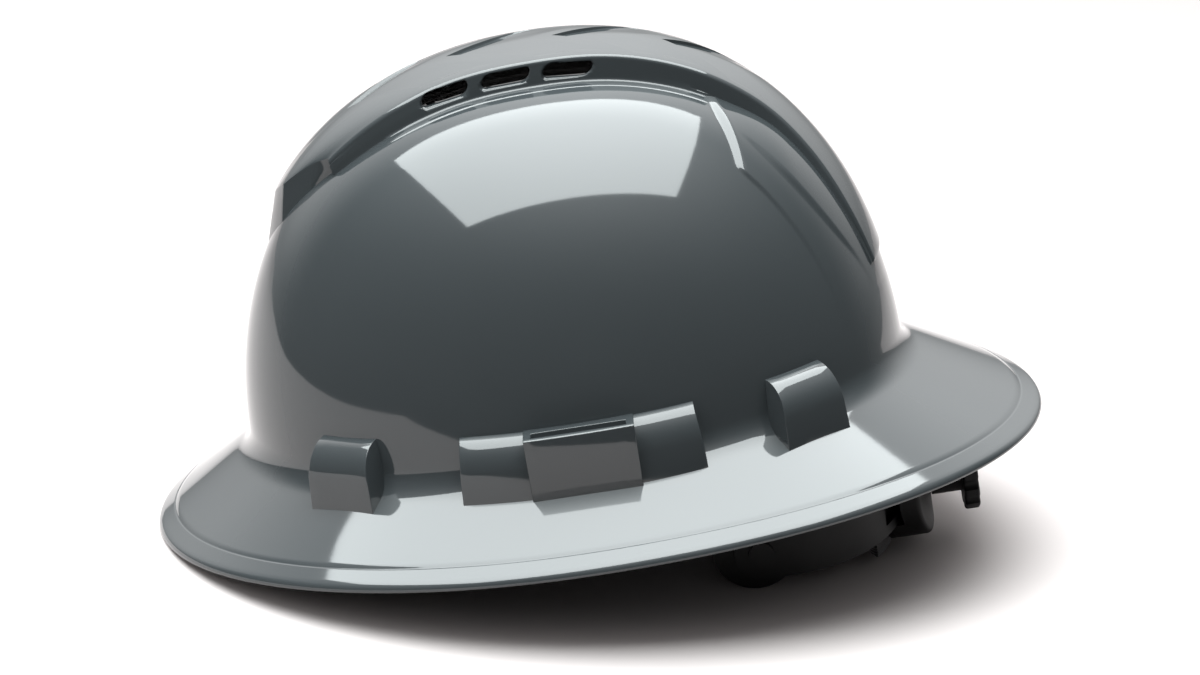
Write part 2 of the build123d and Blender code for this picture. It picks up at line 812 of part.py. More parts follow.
def screw_head_y():
    """Front of the screw heads, which sit flush in the base plate."""
    share = sqrt(1 - (screw_x / (nape_strip_x() + plate_inner - nape_bend_depth)) ** 2)
    return nape_bend_y + plate_inner * share + running_gap


def click_teeth_hole():
    """The toothed recess that the click spring turns in."""
    hole = Circle(click_tip_radius)
    half = pi * click_tip_radius / click_teeth / 2
    notch = make_face(Polyline(
        (click_tip_radius - half, -half), (click_root_radius, 0), (click_tip_radius - half, half),
        close=True))
    for number in range(click_teeth):
        hole += Rot(Z=360 * number / click_teeth) * notch
    cutter = extrude(Plane.XZ * hole, amount=-click_depth - overrun)
    return Pos(0, housing_rear_y - click_depth, -nape_drop) * cutter


def ratchet_housing():
    """The rear cover, with the strap passage, the shaft bore and the click teeth."""
    half = housing_height / 2
    body = nape_layer(straps_inner, housing_outer, -nape_drop - half, -nape_drop + half)
    body &= housing_column()
    rear = body.faces().sort_by(Axis.Y)[-1]
    body = fillet(rear.edges(), housing_edge_round)
    passage = nape_strip_height / 2 + running_gap
    body -= nape_layer(
        straps_inner - overrun / 2, straps_outer, -nape_drop - passage, -nape_drop + passage)
    body -= along_y(
        pinion_shaft_radius + bore_clearance, nape_bend_y, housing_rear_y + overrun, z=-nape_drop)
    body -= click_teeth_hole()
    for x, z in screw_spots():
        body -= along_y(screw_radius, screw_head_y(), screw_head_y() + screw_length + running_gap, x, z)
    return body


def base_plate():
    """The front plate that closes the housing towards the head."""
    half = housing_height / 2
    plate = nape_layer(plate_inner, plate_outer, -nape_drop - half, -nape_drop + half)
    plate &= housing_column()
    for x, z in screw_spots():
        head_end = screw_head_y() + screw_head_thickness
        plate -= along_y(screw_radius + bore_clearance, nape_bend_y, housing_rear_y, x, z)
        plate -= along_y(screw_head_radius + bore_clearance, nape_bend_y, head_end, x, z)
    return plate


def housing_screws():
    """Four screws from the base plate into the cover."""
    screws = Part()
    for x, z in screw_spots():
        start = screw_head_y()
        screws += along_y(screw_radius, start, start + screw_length, x, z)
        screws += along_y(screw_head_radius, start, start + screw_head_thickness, x, z)
    return screws


def pinion():
    """The toothed wheel between the two racks, with its shaft to the knob."""
    tip = pinion_pitch_radius + tooth_addendum - tooth_backlash
    root = pinion_pitch_radius - tooth_dedendum
    pitch_half = pi / pinion_teeth / 2
    face = Circle(root)
    tip_half = pitch_half / 2
    root_half = pitch_half * 3 / 2
    for number in range(pinion_teeth):
        tooth = make_face(Polyline(
            (0, -root * sin(root_half)), (root * cos(root_half), -root * sin(root_half)),
            (tip, -tip * sin(tip_half)), (tip, tip * sin(tip_half)),
            (root * cos(root_half), root * sin(root_half)), (0, root * sin(root_half)), close=True))
        face += Rot(Z=360 * number / pinion_teeth + 90) * tooth
    start = nape_bend_y + straps_inner + running_gap
    end = nape_bend_y + straps_outer - running_gap
    gear = extrude(Plane.XZ * face, amount=-(end - start))
    gear = Pos(0, start, -nape_drop) * gear
    return gear + along_y(pinion_shaft_radius, end, knob_front_y() + knob_socket_depth, z=-nape_drop)


def knob_front_y():
    """Where the knob's neck begins."""
    return housing_rear_y + running_gap


def knob_rear_y():
    """The knob's outer face."""
    return knob_front_y() + knob_neck_length + knob_thickness


def ratchet_knob():
    """The scalloped turning knob with its neck."""
    neck_end = knob_front_y() + knob_neck_length
    disc = along_y(knob_radius, neck_end, knob_rear_y(), z=-nape_drop)
    for number in range(knob_scallops):
        turn = 2 * pi * number / knob_scallops
        x, z = knob_radius * sin(turn), knob_radius * cos(turn)
        disc -= along_y(knob_scallop_radius, neck_end - overrun, knob_rear_y() + overrun, x, z - nape_drop)
    faces = disc.faces().sort_by(Axis.Y)
    disc = fillet(faces[-1].edges() + faces[0].edges(), knob_edge_round)
    knob = disc + along_y(knob_neck_radius, knob_front_y(), neck_end, z=-nape_drop)
    knob -= along_y(
        pinion_shaft_radius, knob_front_y() - overrun, knob_front_y() + knob_socket_depth, z=-nape_drop)
    head_start = knob_rear_y() - cap_screw_head_thickness - running_gap
    knob -= along_y(cap_screw_head_radius + bore_clearance, head_start, knob_rear_y() + overrun, z=-nape_drop)
    knob -= along_y(cap_screw_radius, knob_front_y(), knob_rear_y(), z=-nape_drop)
    return knob


def knob_screw():
    """The screw that holds the knob on its shaft."""
    head_start = knob_rear_y() - cap_screw_head_thickness - running_gap
    length = head_start - knob_front_y() - knob_socket_depth
    screw = along_y(
        cap_screw_head_radius, head_start, head_start + cap_screw_head_thickness, z=-nape_drop)
    return screw + along_y(cap_screw_radius, head_start - length, head_start, z=-nape_drop)


def click_spring():
    """A flat hub with two bowed arms whose noses ride over the click teeth."""
    hub = Circle(click_hub_radius) - Circle(pinion_shaft_radius + bore_clearance)
    arm_radius = click_nose_radius - click_arm_width
    ring = Circle(arm_radius) - Circle(arm_radius - click_arm_width)
    size = 2 * click_root_radius
    for side in (0, 180):
        quarter = ring & (Pos(size / 2, size / 2) * Rectangle(size, size))
        root = Pos(arm_radius - click_arm_width / 2, click_arm_width) * Rectangle(
            click_arm_width, 2 * click_arm_width)
        spoke = Pos((click_hub_radius + arm_radius) / 2, click_arm_width / 2) * Rectangle(
            arm_radius - click_hub_radius + click_arm_width, click_arm_width)
        nose = Pos(0, click_nose_radius - click_arm_width) * Circle(click_arm_width)
        hub += Rot(Z=side) * (quarter + root + spoke + nose)
    start = housing_rear_y - click_depth + running_gap
    spring = extrude(Plane.XZ * hub, amount=-click_spring_thickness)
    return Pos(0, start, -nape_drop) * spring


def nape_pad():
    """The soft pad in front of the base plate."""
    outer = plate_inner - soft_clearance
    inner = outer - nape_pad_thickness
    half = nape_pad_height / 2
    pad = nape_layer(inner, outer, -nape_drop - half, -nape_drop + half)
    size = 4 * dome_half_length
    pad &= Box(2 * nape_pad_half_width, size, size)
    return fillet(pad.edges(), nape_pad_round)


# How the hat lies: the front lip and the two lobes touch the table
def resting_lean():
    """Lean in radians that brings the front lip and the lobes to one level."""
    slope = radians(brim_slope_angle)
    lip_y = -(dome_half_length + brim_front_reach) + lip_round
    under = slope_drop(brim_front_reach - lip_round) + shell_wall / cos(slope)
    lip_z = -under + lip_round / cos(slope)
    along = lobe_centre_y - lip_y
    drop = lobe_centre_drop + lip_z
    return atan2(drop, along) + asin((lobe_radius - lip_round) / hypot(along, drop))


def table_height(lean):
    """Height of the table under the hat's origin, measured across the lean."""
    return lobe_centre_y * sin(lean) - lobe_centre_drop * cos(lean) - lobe_radius


pieces = {"shell": hard_hat_shell()}
for key_name, key_angle in key_angles().items():
    pieces["key_" + key_name] = rim_place(key_angle) * suspension_key()
pieces["crown_strap_lower"] = crown_strap("front_left", "rear_right", strap_crown_height)
pieces["crown_strap_upper"] = crown_strap(
    "front_right", "rear_left", strap_crown_height + strap_thickness + strap_crossing_gap)
pieces["headband"] = headband()
pieces["brow_pad"] = brow_pad()
pieces["rivet_left"] = pivot_rivet()
pieces["rivet_right"] = mirror(pivot_rivet(), about=Plane.YZ)
pieces["nape_strap_left"] = left_nape_strap()
pieces["nape_strap_right"] = right_nape_strap()
pieces["ratchet_housing"] = ratchet_housing()
pieces["ratchet_base_plate"] = base_plate()
pieces["housing_screws"] = housing_screws()
pieces["nape_pad"] = nape_pad()
pieces["pinion"] = pinion()
pieces["click_spring"] = click_spring()
pieces["ratchet_knob"] = ratchet_knob()
pieces["knob_screw"] = knob_screw()

lean = resting_lean()
leaned = Pos(0, 0, -table_height(lean)) * Rot(X=degrees(lean))
shell_box = (leaned * pieces["shell"]).bounding_box()
centre_y = (shell_box.min.Y + shell_box.max.Y) / 2
standing = Pos(0, -centre_y, 0) * leaned

os.makedirs("parts", exist_ok=True)
for name, piece in pieces.items():
    export_step(standing * piece, f"parts/{name}.step")
print("lean", round(degrees(lean), 3), "table", round(table_height(lean), 3), "centre", round(centre_y, 3))
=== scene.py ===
# %% [markdown]
# # A full brim hard hat on a white table
# A safety helmet is one thin moulding: an oval dome that turns into a brim. It could be sculpted, or
# modelled by hand from a cage of polygons. This lesson works it out from formulas instead, because
# every edge then stays smooth and can be moved by one number. It adds the raised crest and the side
# blocks, and then dresses the suspension inside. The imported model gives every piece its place, so it
# is loaded first.

# %% Load the frame
import json

import bmesh
import bpy
import numpy as np
from mathutils import Matrix, Vector

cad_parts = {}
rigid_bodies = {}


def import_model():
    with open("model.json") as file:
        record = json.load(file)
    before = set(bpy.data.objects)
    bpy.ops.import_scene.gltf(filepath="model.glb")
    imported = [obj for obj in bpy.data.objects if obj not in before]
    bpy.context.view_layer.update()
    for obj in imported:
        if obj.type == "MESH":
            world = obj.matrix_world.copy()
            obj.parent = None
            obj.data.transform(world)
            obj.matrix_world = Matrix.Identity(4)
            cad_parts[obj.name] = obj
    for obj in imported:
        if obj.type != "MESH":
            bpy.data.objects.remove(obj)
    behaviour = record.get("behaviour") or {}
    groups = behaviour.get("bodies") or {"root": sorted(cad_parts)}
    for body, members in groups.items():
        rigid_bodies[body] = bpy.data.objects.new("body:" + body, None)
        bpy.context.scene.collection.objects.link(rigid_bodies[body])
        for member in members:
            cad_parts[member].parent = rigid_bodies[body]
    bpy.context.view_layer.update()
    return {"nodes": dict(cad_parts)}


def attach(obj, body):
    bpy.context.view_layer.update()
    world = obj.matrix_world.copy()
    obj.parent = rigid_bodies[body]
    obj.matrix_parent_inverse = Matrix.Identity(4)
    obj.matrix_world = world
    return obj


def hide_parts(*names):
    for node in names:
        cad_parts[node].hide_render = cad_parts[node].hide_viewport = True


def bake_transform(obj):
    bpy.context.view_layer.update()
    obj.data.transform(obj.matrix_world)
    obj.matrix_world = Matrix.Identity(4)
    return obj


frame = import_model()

for leftover in [o for o in bpy.data.objects if o.name in ("Cube", "Light", "Camera")]:
    bpy.data.objects.remove(leftover)

# %% [markdown]
# The formulas are written in the hat's own frame, in millimetres: crown up, the wearer looking along
# -Y. The hat lies leaning on its front lip. Each object could be turned by itself, but a finished piece
# has to keep its place in its mesh, so one function leans every point and turns it to metres.

# %% From the hat's frame to the table
LEAN = np.radians(10.568)
TABLE = -55.497
CENTRE = 9.138
UP = np.array((0.0, 0.0, 1.0))


def lean_turn(v):
    """Directions leaned about X: new y = y cos - z sin, new z = y sin + z cos, x as it was."""
    v = np.asarray(v, float)
    y, z = v[..., 1], v[..., 2]
    return np.stack((v[..., 0], y * np.cos(LEAN) - z * np.sin(LEAN), y * np.sin(LEAN) + z * np.cos(LEAN)), -1)


def to_table(points):
    """Hat frame millimetres to table metres: lean, then shift so that the hat stands on the table."""
    return (lean_turn(points) - np.array((0.0, CENTRE, TABLE))) / 1000


print("the hat leans", round(float(np.degrees(LEAN)), 2), "degrees")

# %% [markdown]
# Every new piece is a grid of points made as whole arrays. A grid could also be drawn as a surface
# object, but a mesh keeps full control of where its rows lie. These helpers join a grid into quads,
# turn the normals out and give the piece its body and smooth shading up to a chosen angle.

# %% Mesh helpers


def quads(rows, cols, wrap=False):
    """Corner numbers of the quads of a rows by cols grid; wrap joins the last column to the first."""
    i = np.arange(rows - 1)[:, None]
    j = np.arange(cols if wrap else cols - 1)[None, :]
    k = (j + 1) % cols
    return np.stack((i * cols + j, i * cols + k, (i + 1) * cols + k, (i + 1) * cols + j), -1)


def tube_faces(rings, count, reverse_last=False):
    """Faces of a closed tube of rings with count points each: the quads round it, and a flat end on both."""
    last = list(range((rings - 1) * count, rings * count))
    return (quads(rings, count, wrap=True).reshape(-1, 4).tolist()
            + [list(range(count)), last[::-1] if reverse_last else last])


def shade(mesh, sharp):
    """Smooth shading, with edges kept sharp that bend by more than an angle in degrees."""
    mesh.shade_smooth()
    mesh.set_sharp_from_angle(angle=np.radians(sharp))


def make_piece(name, points, faces, body, sharp=38.0, table=True):
    """A mesh object from hat frame points with outward normals; with a body, it rides on that body."""
    mesh = bpy.data.meshes.new(name)
    place = to_table(points.reshape(-1, 3)) if table else points.reshape(-1, 3)
    mesh.from_pydata(place.tolist(), [], faces)
    tidy = bmesh.new()
    tidy.from_mesh(mesh)
    loose = [v for v in tidy.verts if not v.link_faces]
    bmesh.ops.delete(tidy, geom=loose, context="VERTS")
    bmesh.ops.recalc_face_normals(tidy, faces=tidy.faces)
    tidy.to_mesh(mesh)
    tidy.free()
    shade(mesh, sharp)
    piece = bpy.data.objects.new(name, mesh)
    bpy.context.scene.collection.objects.link(piece)
    if body:
        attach(piece, body)
    return piece


def finished(piece):
    """The piece with its modifiers made real."""
    graph = bpy.context.evaluated_depsgraph_get()
    mesh = bpy.data.meshes.new_from_object(piece.evaluated_get(graph))
    piece.modifiers.clear()
    old = piece.data
    piece.data = mesh
    bpy.data.meshes.remove(old)
    return piece


print("quads of a 3 by 4 grid", len(quads(3, 4).reshape(-1, 4)))

# %% [markdown]
# Widths and heights that change along the crest are given as short tables. Straight lines between the
# values would show as kinks in the gloss, so a cubic with matching slopes runs through them.

# %% Curve helpers


def along_table(x, table_x, table_y):
    """A smooth curve through a table: between neighbours, the cubic that has their values and slopes."""
    slopes = np.gradient(table_y, table_x)
    x = np.clip(x, table_x[0], table_x[-1])
    k = np.clip(np.searchsorted(table_x, x) - 1, 0, len(table_x) - 2)
    step = (table_x[1:] - table_x[:-1])[k]
    s = (x - table_x[k]) / step
    return ((2 * s**3 - 3 * s**2 + 1) * table_y[k] + (s**3 - 2 * s**2 + s) * step * slopes[k]
            + (3 * s**2 - 2 * s**3) * table_y[k + 1] + (s**3 - s**2) * step * slopes[k + 1])


def ease(x):
    """0 below 0, 1 above 1, and between them the soft step 3 x squared - 2 x cubed."""
    x = np.clip(x, 0, 1)
    return x * x * (3 - 2 * x)


def unit(v):
    """Vectors made one long: each is divided by its length."""
    return v / np.linalg.norm(v, axis=-1, keepdims=True)


print("soft step at a quarter", float(ease(0.25)))

# %% [markdown]
# The plastic is a hard gloss slate grey. A perfectly even skin looks like a drawing, and a painted
# texture would have seams, so noise on the piece's own coordinates breaks it up. Two effects are shared
# by more than one finish, so each is a node group: a faint unevenness of the moulded skin, and a fine
# grain for the dull black parts.

# %% Shared shader groups


def new_group(name, inputs, outputs):
    """An empty shader node group with named float inputs and typed outputs."""
    group = bpy.data.node_groups.new(name, "ShaderNodeTree")
    for label, value in inputs:
        socket = group.interface.new_socket(label, in_out="INPUT", socket_type="NodeSocketFloat")
        socket.default_value = value
    for label, kind in outputs:
        group.interface.new_socket(label, in_out="OUTPUT", socket_type=kind)
    return group, group.nodes.new("NodeGroupInput"), group.nodes.new("NodeGroupOutput")


def noise(nodes, links, scale, detail=2.0):
    """Noise read on the piece's own coordinates."""
    where = nodes.new("ShaderNodeTexCoord")
    node = nodes.new("ShaderNodeTexNoise")
    node.inputs["Scale"].default_value = scale
    node.inputs["Detail"].default_value = detail
    links.new(where.outputs["Object"], node.inputs["Vector"])
    return node


def math_node(nodes, links, operation, first, second=None):
    """One Math node; each input is a socket or a number."""
    node = nodes.new("ShaderNodeMath")
    node.operation = operation
    for place, value in enumerate((first, second)):
        if value is None:
            continue
        if isinstance(value, (int, float)):
            node.inputs[place].default_value = value
        else:
            links.new(value, node.inputs[place])
    return node.outputs[0]


DRIFT_SCALE, WAVE_SCALE, GRAIN_SCALE, PATCH_SCALE = 9.0, 160.0, 900.0, 40.0


def moulded_skin():
    """Roughness = given roughness + drift x broad noise, and height = wave x noise of shallow waves."""
    group, given, made = new_group("moulded_skin", (("Roughness", 0.1), ("Drift", 0.04), ("Wave", 0.1)), (
        ("Roughness", "NodeSocketFloat"), ("Height", "NodeSocketFloat")))
    nodes, links = group.nodes, group.links
    broad = noise(nodes, links, DRIFT_SCALE).outputs["Fac"]
    spread = math_node(nodes, links, "MULTIPLY", broad, given.outputs["Drift"])
    links.new(math_node(nodes, links, "ADD", given.outputs["Roughness"], spread), made.inputs["Roughness"])
    wave = noise(nodes, links, WAVE_SCALE, 1.0).outputs["Fac"]
    links.new(math_node(nodes, links, "MULTIPLY", wave, given.outputs["Wave"]), made.inputs["Height"])
    return group


def spark_grain():
    """The fine pitted grain of a spark eroded mould: fine noise as height, broad noise as a mask."""
    group, given, made = new_group("spark_grain", (("Scale", GRAIN_SCALE),), (
        ("Height", "NodeSocketFloat"), ("Mask", "NodeSocketFloat")))
    nodes, links = group.nodes, group.links
    fine = noise(nodes, links, GRAIN_SCALE, 3.0)
    links.new(given.outputs["Scale"], fine.inputs["Scale"])
    links.new(fine.outputs["Fac"], made.inputs["Height"])
    links.new(noise(nodes, links, PATCH_SCALE).outputs["Fac"], made.inputs["Mask"])
    return group


skin_group = moulded_skin()
grain_group = spark_grain()
print("groups", skin_group.name, grain_group.name)

# %% [markdown]
# The shell is a coloured gloss plastic, the suspension and the ratchet are two dull blacks, and the
# screws are blackened steel. A clear coat over a colour could give the same gloss, but a moulding has
# no lacquer, so one plain shader with low roughness is used and the groups above break it up.

# %% Plastics and steel
SLATE = (0.0262, 0.0304, 0.0325)
BUMP_REACH = 0.0002


def plain_material(name, colour, roughness, **sockets):
    """A material with its Principled shader, its nodes and its links."""
    material = bpy.data.materials.new(name)
    material.use_nodes = True
    nodes, links = material.node_tree.nodes, material.node_tree.links
    shader = nodes["Principled BSDF"]
    shader.inputs["Base Color"].default_value = (*colour, 1)
    shader.inputs["Roughness"].default_value = roughness
    for label, value in sockets.items():
        shader.inputs[label.replace("_", " ")].default_value = value
    return material, nodes, links, shader


def group_node(nodes, group, **values):
    """A group placed in a material with its own values."""
    node = nodes.new("ShaderNodeGroup")
    node.node_tree = group
    for label, value in values.items():
        node.inputs[label].default_value = value
    return node


def bump_into(nodes, links, height, shader, strength, distance):
    """A Bump node between a height and the shader's Normal."""
    bump = nodes.new("ShaderNodeBump")
    bump.inputs["Strength"].default_value = strength
    bump.inputs["Distance"].default_value = distance
    links.new(height, bump.inputs["Height"])
    links.new(bump.outputs["Normal"], shader.inputs["Normal"])


def tint_over(nodes, links, mask, low, high, shader):
    """Base Color that drifts between two near colours as a mask goes from 0.35 to 0.65."""
    ramp = nodes.new("ShaderNodeValToRGB")
    for element, colour, position in zip(ramp.color_ramp.elements, (low, high), (0.35, 0.65)):
        element.color = (*colour, 1)
        element.position = position
    links.new(mask, ramp.inputs["Fac"])
    links.new(ramp.outputs["Color"], shader.inputs["Base Color"])


def scaled(colour, share):
    """A colour with each part multiplied by a share."""
    return tuple(c * share for c in colour)


def skin_rough(nodes, links, shader, **values):
    """The moulded skin placed in a material, with its roughness fed to the shader."""
    skin = group_node(nodes, skin_group, **values)
    links.new(skin.outputs["Roughness"], shader.inputs["Roughness"])
    return skin


def gloss_shell():
    """Hard gloss slate grey moulding: drifting roughness, shallow waves and a tint that drifts by 5%."""
    material, nodes, links, shader = plain_material("gloss_slate", SLATE, 0.08, IOR=1.5)
    skin = skin_rough(nodes, links, shader, Roughness=0.045, Drift=0.03, Wave=0.5)
    bump_into(nodes, links, skin.outputs["Height"], shader, 0.04, BUMP_REACH)
    drift = noise(nodes, links, 14.0)
    tint_over(nodes, links, drift.outputs["Fac"], SLATE, scaled(SLATE, 1.05), shader)
    return material


def dull_black(name, colour, roughness, grain_scale, strength):
    """Black moulding with a fine grain as bump and a tint that drifts by half."""
    material, nodes, links, shader = plain_material(name, colour, roughness, IOR=1.4, Specular_IOR_Level=0.3)
    grain = group_node(nodes, grain_group, Scale=grain_scale)
    bump_into(nodes, links, grain.outputs["Height"], shader, strength, BUMP_REACH)
    tint_over(nodes, links, grain.outputs["Mask"], colour, scaled(colour, 1.5), shader)
    skin_rough(nodes, links, shader, Roughness=roughness, Drift=0.12)
    return material


def dark_steel():
    """Blackened screw steel with rougher patches."""
    material, nodes, links, shader = plain_material("dark_steel", (0.14, 0.14, 0.15), 0.3, Metallic=1.0)
    skin_rough(nodes, links, shader, Roughness=0.24, Drift=0.25)
    return material


gloss = gloss_shell()
suspension_black = dull_black("satin_black", (0.004, 0.004, 0.0042), 0.42, 700.0, 0.12)
ratchet_black = dull_black("grained_black", (0.0035, 0.0035, 0.0037), 0.48, 1100.0, 0.3)
steel = dark_steel()
print("materials", [m.name for m in (gloss, suspension_black, ratchet_black, steel)])

# %% [markdown]
# The dome is a power curve: seen from above its skin lies at a share q of the foot oval, and
# q to the power 2.41 plus height share to the power 2.01 is one. A scaled ball could stand in for it,
# but its sides are too slack: a plan power above 2 gives the fuller shoulders of the shell. The brim
# leaves the foot at a constant slope and is cut off by an egg shaped outline with its own reach in
# front, at the side and behind.

# %% Dome and brim formulas
HALF_WIDTH, HALF_LENGTH, HEIGHT = 100.0, 125.0, 127.0
PLAN_POWER, RISE_POWER = 2.41, 2.01
WALL, CROWN_WALL = 2.5, 4.0
SLOPE = np.radians(30.5)
SIDE_REACH, FRONT_REACH, REAR_REACH = 38.4, 40.4, 48.9
SHIFT = WALL * (1 / np.cos(SLOPE) - np.tan(SLOPE))
OUTER = (HALF_WIDTH, HALF_LENGTH, HEIGHT, 0.0)
INNER = (HALF_WIDTH - WALL, HALF_LENGTH - WALL, HEIGHT - CROWN_WALL + SHIFT, -SHIFT)


def dome(turn, rise, form):
    """Dome skin: q = cos(rise) to the 2 / plan power, height share = sin(rise) to the 2 / rise power."""
    half_width, half_length, height, foot = form
    q = np.cos(rise) ** (2 / PLAN_POWER)
    return np.stack(np.broadcast_arrays(
        half_width * q * np.cos(turn), half_length * q * np.sin(turn),
        foot + height * np.sin(rise) ** (2 / RISE_POWER)), -1)


def brim(turn, reach, form):
    """Brim skin: both half axes of the foot oval grow by reach, and it falls by reach x tan(slope)."""
    half_width, half_length, _, foot = form
    return np.stack(np.broadcast_arrays(
        (half_width + reach) * np.cos(turn), (half_length + reach) * np.sin(turn),
        foot - reach * np.tan(SLOPE)), -1)


def egg_reach(turn, inset, form):
    """Reach at which the brim meets the egg outline drawn in by inset: the root of one quadratic."""
    side = HALF_WIDTH + SIDE_REACH - inset
    end = HALF_LENGTH + np.where(np.sin(turn) > 0, REAR_REACH, FRONT_REACH) - inset
    c, s = np.cos(turn) / side, np.sin(turn) / end
    a = c * c + s * s
    b = form[0] * c * c + form[1] * s * s
    k = (form[0] * c) ** 2 + (form[1] * s) ** 2 - 1
    return (-b + np.sqrt(b * b - a * k)) / a


def halved(far, steps, inside):
    """Where a test stops being true: the span from 0 to far is halved again and again."""
    near = np.zeros(far.shape)
    for _ in range(steps):
        middle = (near + far) / 2
        yes = inside(middle)
        near, far = np.where(yes, middle, near), np.where(yes, far, middle)
    return near


def skin_reach(x, side_turn, form=OUTER):
    """Distance from the left to right axis to the dome's skin at a side view angle, by halving."""
    half_width, half_length, height, foot = form
    x, side_turn = np.broadcast_arrays(x, side_turn)

    def under_skin(reach):
        """True where plan share to its power plus height share to its power is below one."""
        plan = np.hypot(x / half_width, reach * np.cos(side_turn) / half_length)
        rise = np.clip(reach * np.sin(side_turn) - foot, 0, None) / height
        return plan**PLAN_POWER + rise**RISE_POWER < 1

    return halved(np.full(x.shape, 260.0), 44, under_skin)


def side_point(x, side_turn, reach):
    """A point from its across position, side view angle a and distance r: (x, -r cos a, r sin a)."""
    return np.stack(np.broadcast_arrays(x, -reach * np.cos(side_turn), reach * np.sin(side_turn)), -1)


def curve_between(start, start_way, end, end_way, handle, count):
    """Points on the cubic from start to end that leaves and arrives along given directions."""
    t = np.linspace(0, 1, count + 2)[1:-1, None, None]
    one, two = start + start_way * handle, end - end_way * handle
    return (1 - t)**3 * start + 3 * t * (1 - t)**2 * one + 3 * t * t * (1 - t) * two + t**3 * end


OUTLINE = (2 * (HALF_WIDTH + SIDE_REACH), 2 * HALF_LENGTH + FRONT_REACH + REAR_REACH)
print("outline", round(OUTLINE[0]), "by", round(OUTLINE[1]), "mm")

# %% [markdown]
# The crest is a hollow band that stands on the dome. Its half width and its rise change along the side
# view angle, which runs from 0 at the front foot over 90 at the crown to 180 at the rear foot. Under it
# the dome has an opening, so that the vents in its walls really lead inside. The rear flanks carry a
# raised panel: a ramp in front, fading out behind, with a higher strip beside the crest. Such relief
# could be a bump map, but it has to change what the gloss mirrors, so it moves the points themselves.

# %% Crest and panel tables
CROWN_HALF, CROWN_RISE = 28.0, 8.9
CREST_TURNS = np.radians((41, 48, 56, 68, 80, 91, 103, 113, 123, 131, 140, 151, 162))
CREST_HALF = CROWN_HALF * np.array((
    0.42, 0.77, 0.97, 1.05, 1.02, 1.0, 0.92, 0.87, 0.83, 0.83, 0.90, 0.98, 0.95))
CREST_RISE = CROWN_RISE * np.array((
    0.56, 0.66, 0.75, 0.88, 0.97, 1.0, 1.0, 0.93, 0.82, 0.71, 0.55, 0.37, 0.20))
PANEL_TURNS = np.radians((120, 122.5, 126, 129, 135, 143, 152, 159, 166))
PANEL_INNER = np.array((31.0, 32.0, 34.0, 35.5, 38.0, 39.0, 37.0, 33.0, 29.0))
PANEL_OUTER = np.array((46.0, 47.0, 48.5, 50.0, 51.5, 53.0, 54.0, 54.6, 54.8))
PANEL_FADE = np.array((1.0, 1.0, 0.97, 0.94, 0.85, 0.65, 0.4, 0.15, 0.0))
PANEL_X, PANEL_TURN, PANEL_ANGLE = 32.0, np.radians(122.5), np.radians(36.0)
PANEL_RISE, STRIP_RISE, RAMP_WIDTH, INNER_STEP, OUTER_STEP = 1.0, 1.5, 4.6, 2.4, 1.2
STRIP_START, STRIP_RUN = 5.0, 22.0
FLANK_RADIUS = 122.0


def crest_half(side_turn):
    """Half width of the crest's foot, read along its table."""
    return along_table(side_turn, CREST_TURNS, CREST_HALF)


def crest_rise(side_turn):
    """Rise of the crest over the dome, read along its table."""
    return along_table(side_turn, CREST_TURNS, CREST_RISE)


def side_turn_of(points):
    """Side view angle of points: the angle whose tangent is z over -y."""
    return np.arctan2(points[..., 2], -points[..., 1])


def flank_rise(points):
    """Height of the rear flanks: fade x (panel behind a slanting ramp + higher strip beside the crest)."""
    x, side_turn = np.abs(points[..., 0]), side_turn_of(points)
    back = (side_turn - PANEL_TURN) * FLANK_RADIUS
    ahead = back * np.cos(PANEL_ANGLE) - (x - PANEL_X) * np.sin(PANEL_ANGLE)
    outer = ease((along_table(side_turn, PANEL_TURNS, PANEL_OUTER) - x) / OUTER_STEP)
    inner = 1 - ease((x - along_table(side_turn, PANEL_TURNS, PANEL_INNER)) / INNER_STEP)
    panel = PANEL_RISE * ease(ahead / RAMP_WIDTH) * outer
    strip = STRIP_RISE * ease((ahead - STRIP_START) / STRIP_RUN) * inner
    return along_table(side_turn, PANEL_TURNS, PANEL_FADE) * (panel + strip)


def dome_normal(points, form=OUTER):
    """Outward direction: the slope of the power formula in x, y and z, made one long."""
    q = np.hypot(points[..., 0] / form[0], points[..., 1] / form[1]) + 1e-9
    high = np.clip((points[..., 2] - form[3]) / form[2], 0, None)
    return unit(np.stack((
        PLAN_POWER * q**(PLAN_POWER - 2) * points[..., 0] / form[0]**2,
        PLAN_POWER * q**(PLAN_POWER - 2) * points[..., 1] / form[1]**2,
        RISE_POWER * high**(RISE_POWER - 1) / form[2]), -1))


print("crest foot", round(2 * float(CREST_HALF.max())), "mm wide at its widest")

# %% [markdown]
# The whole moulding is one closed sheet: down the outside, round the lip and back up the inside. A
# thickness could be added by a modifier, but this wall is made thicker at the crown, so both skins are
# worked out. Rows and columns are close together only where the flank panels need them,
# which keeps the mesh light.

# %% Dome skins and the rounding at their foot
FOOT_HALF_ANGLE, FOOT_HANDLE = np.radians(60.25), 0.354
OUTER_FOOT, INNER_FOOT, FOOT_ROWS = 12.0, 14.5, 9


def stretches(*pieces):
    """Angles in degrees: (from, to, step) stretches joined without doubles, as radians."""
    runs = [np.linspace(a, b, max(2, int(round((b - a) / step)) + 1))[:-1] for a, b, step in pieces]
    return np.radians(np.concatenate(runs))


turns = stretches((0, 44, 1.6), (44, 77, 0.45), (77, 103, 1.6), (103, 136, 0.45), (136, 360, 1.6))


def dome_rises():
    """Rises from the crown down to the start of the foot's rounding, closest on the flanks."""
    crown = np.arange(89.4, 57, -1.3)
    flank = np.arange(57, 12, -0.42)
    foot = np.linspace(12, 3.05, 7)
    return np.radians(np.concatenate((crown, flank, foot)))


rises = dome_rises()


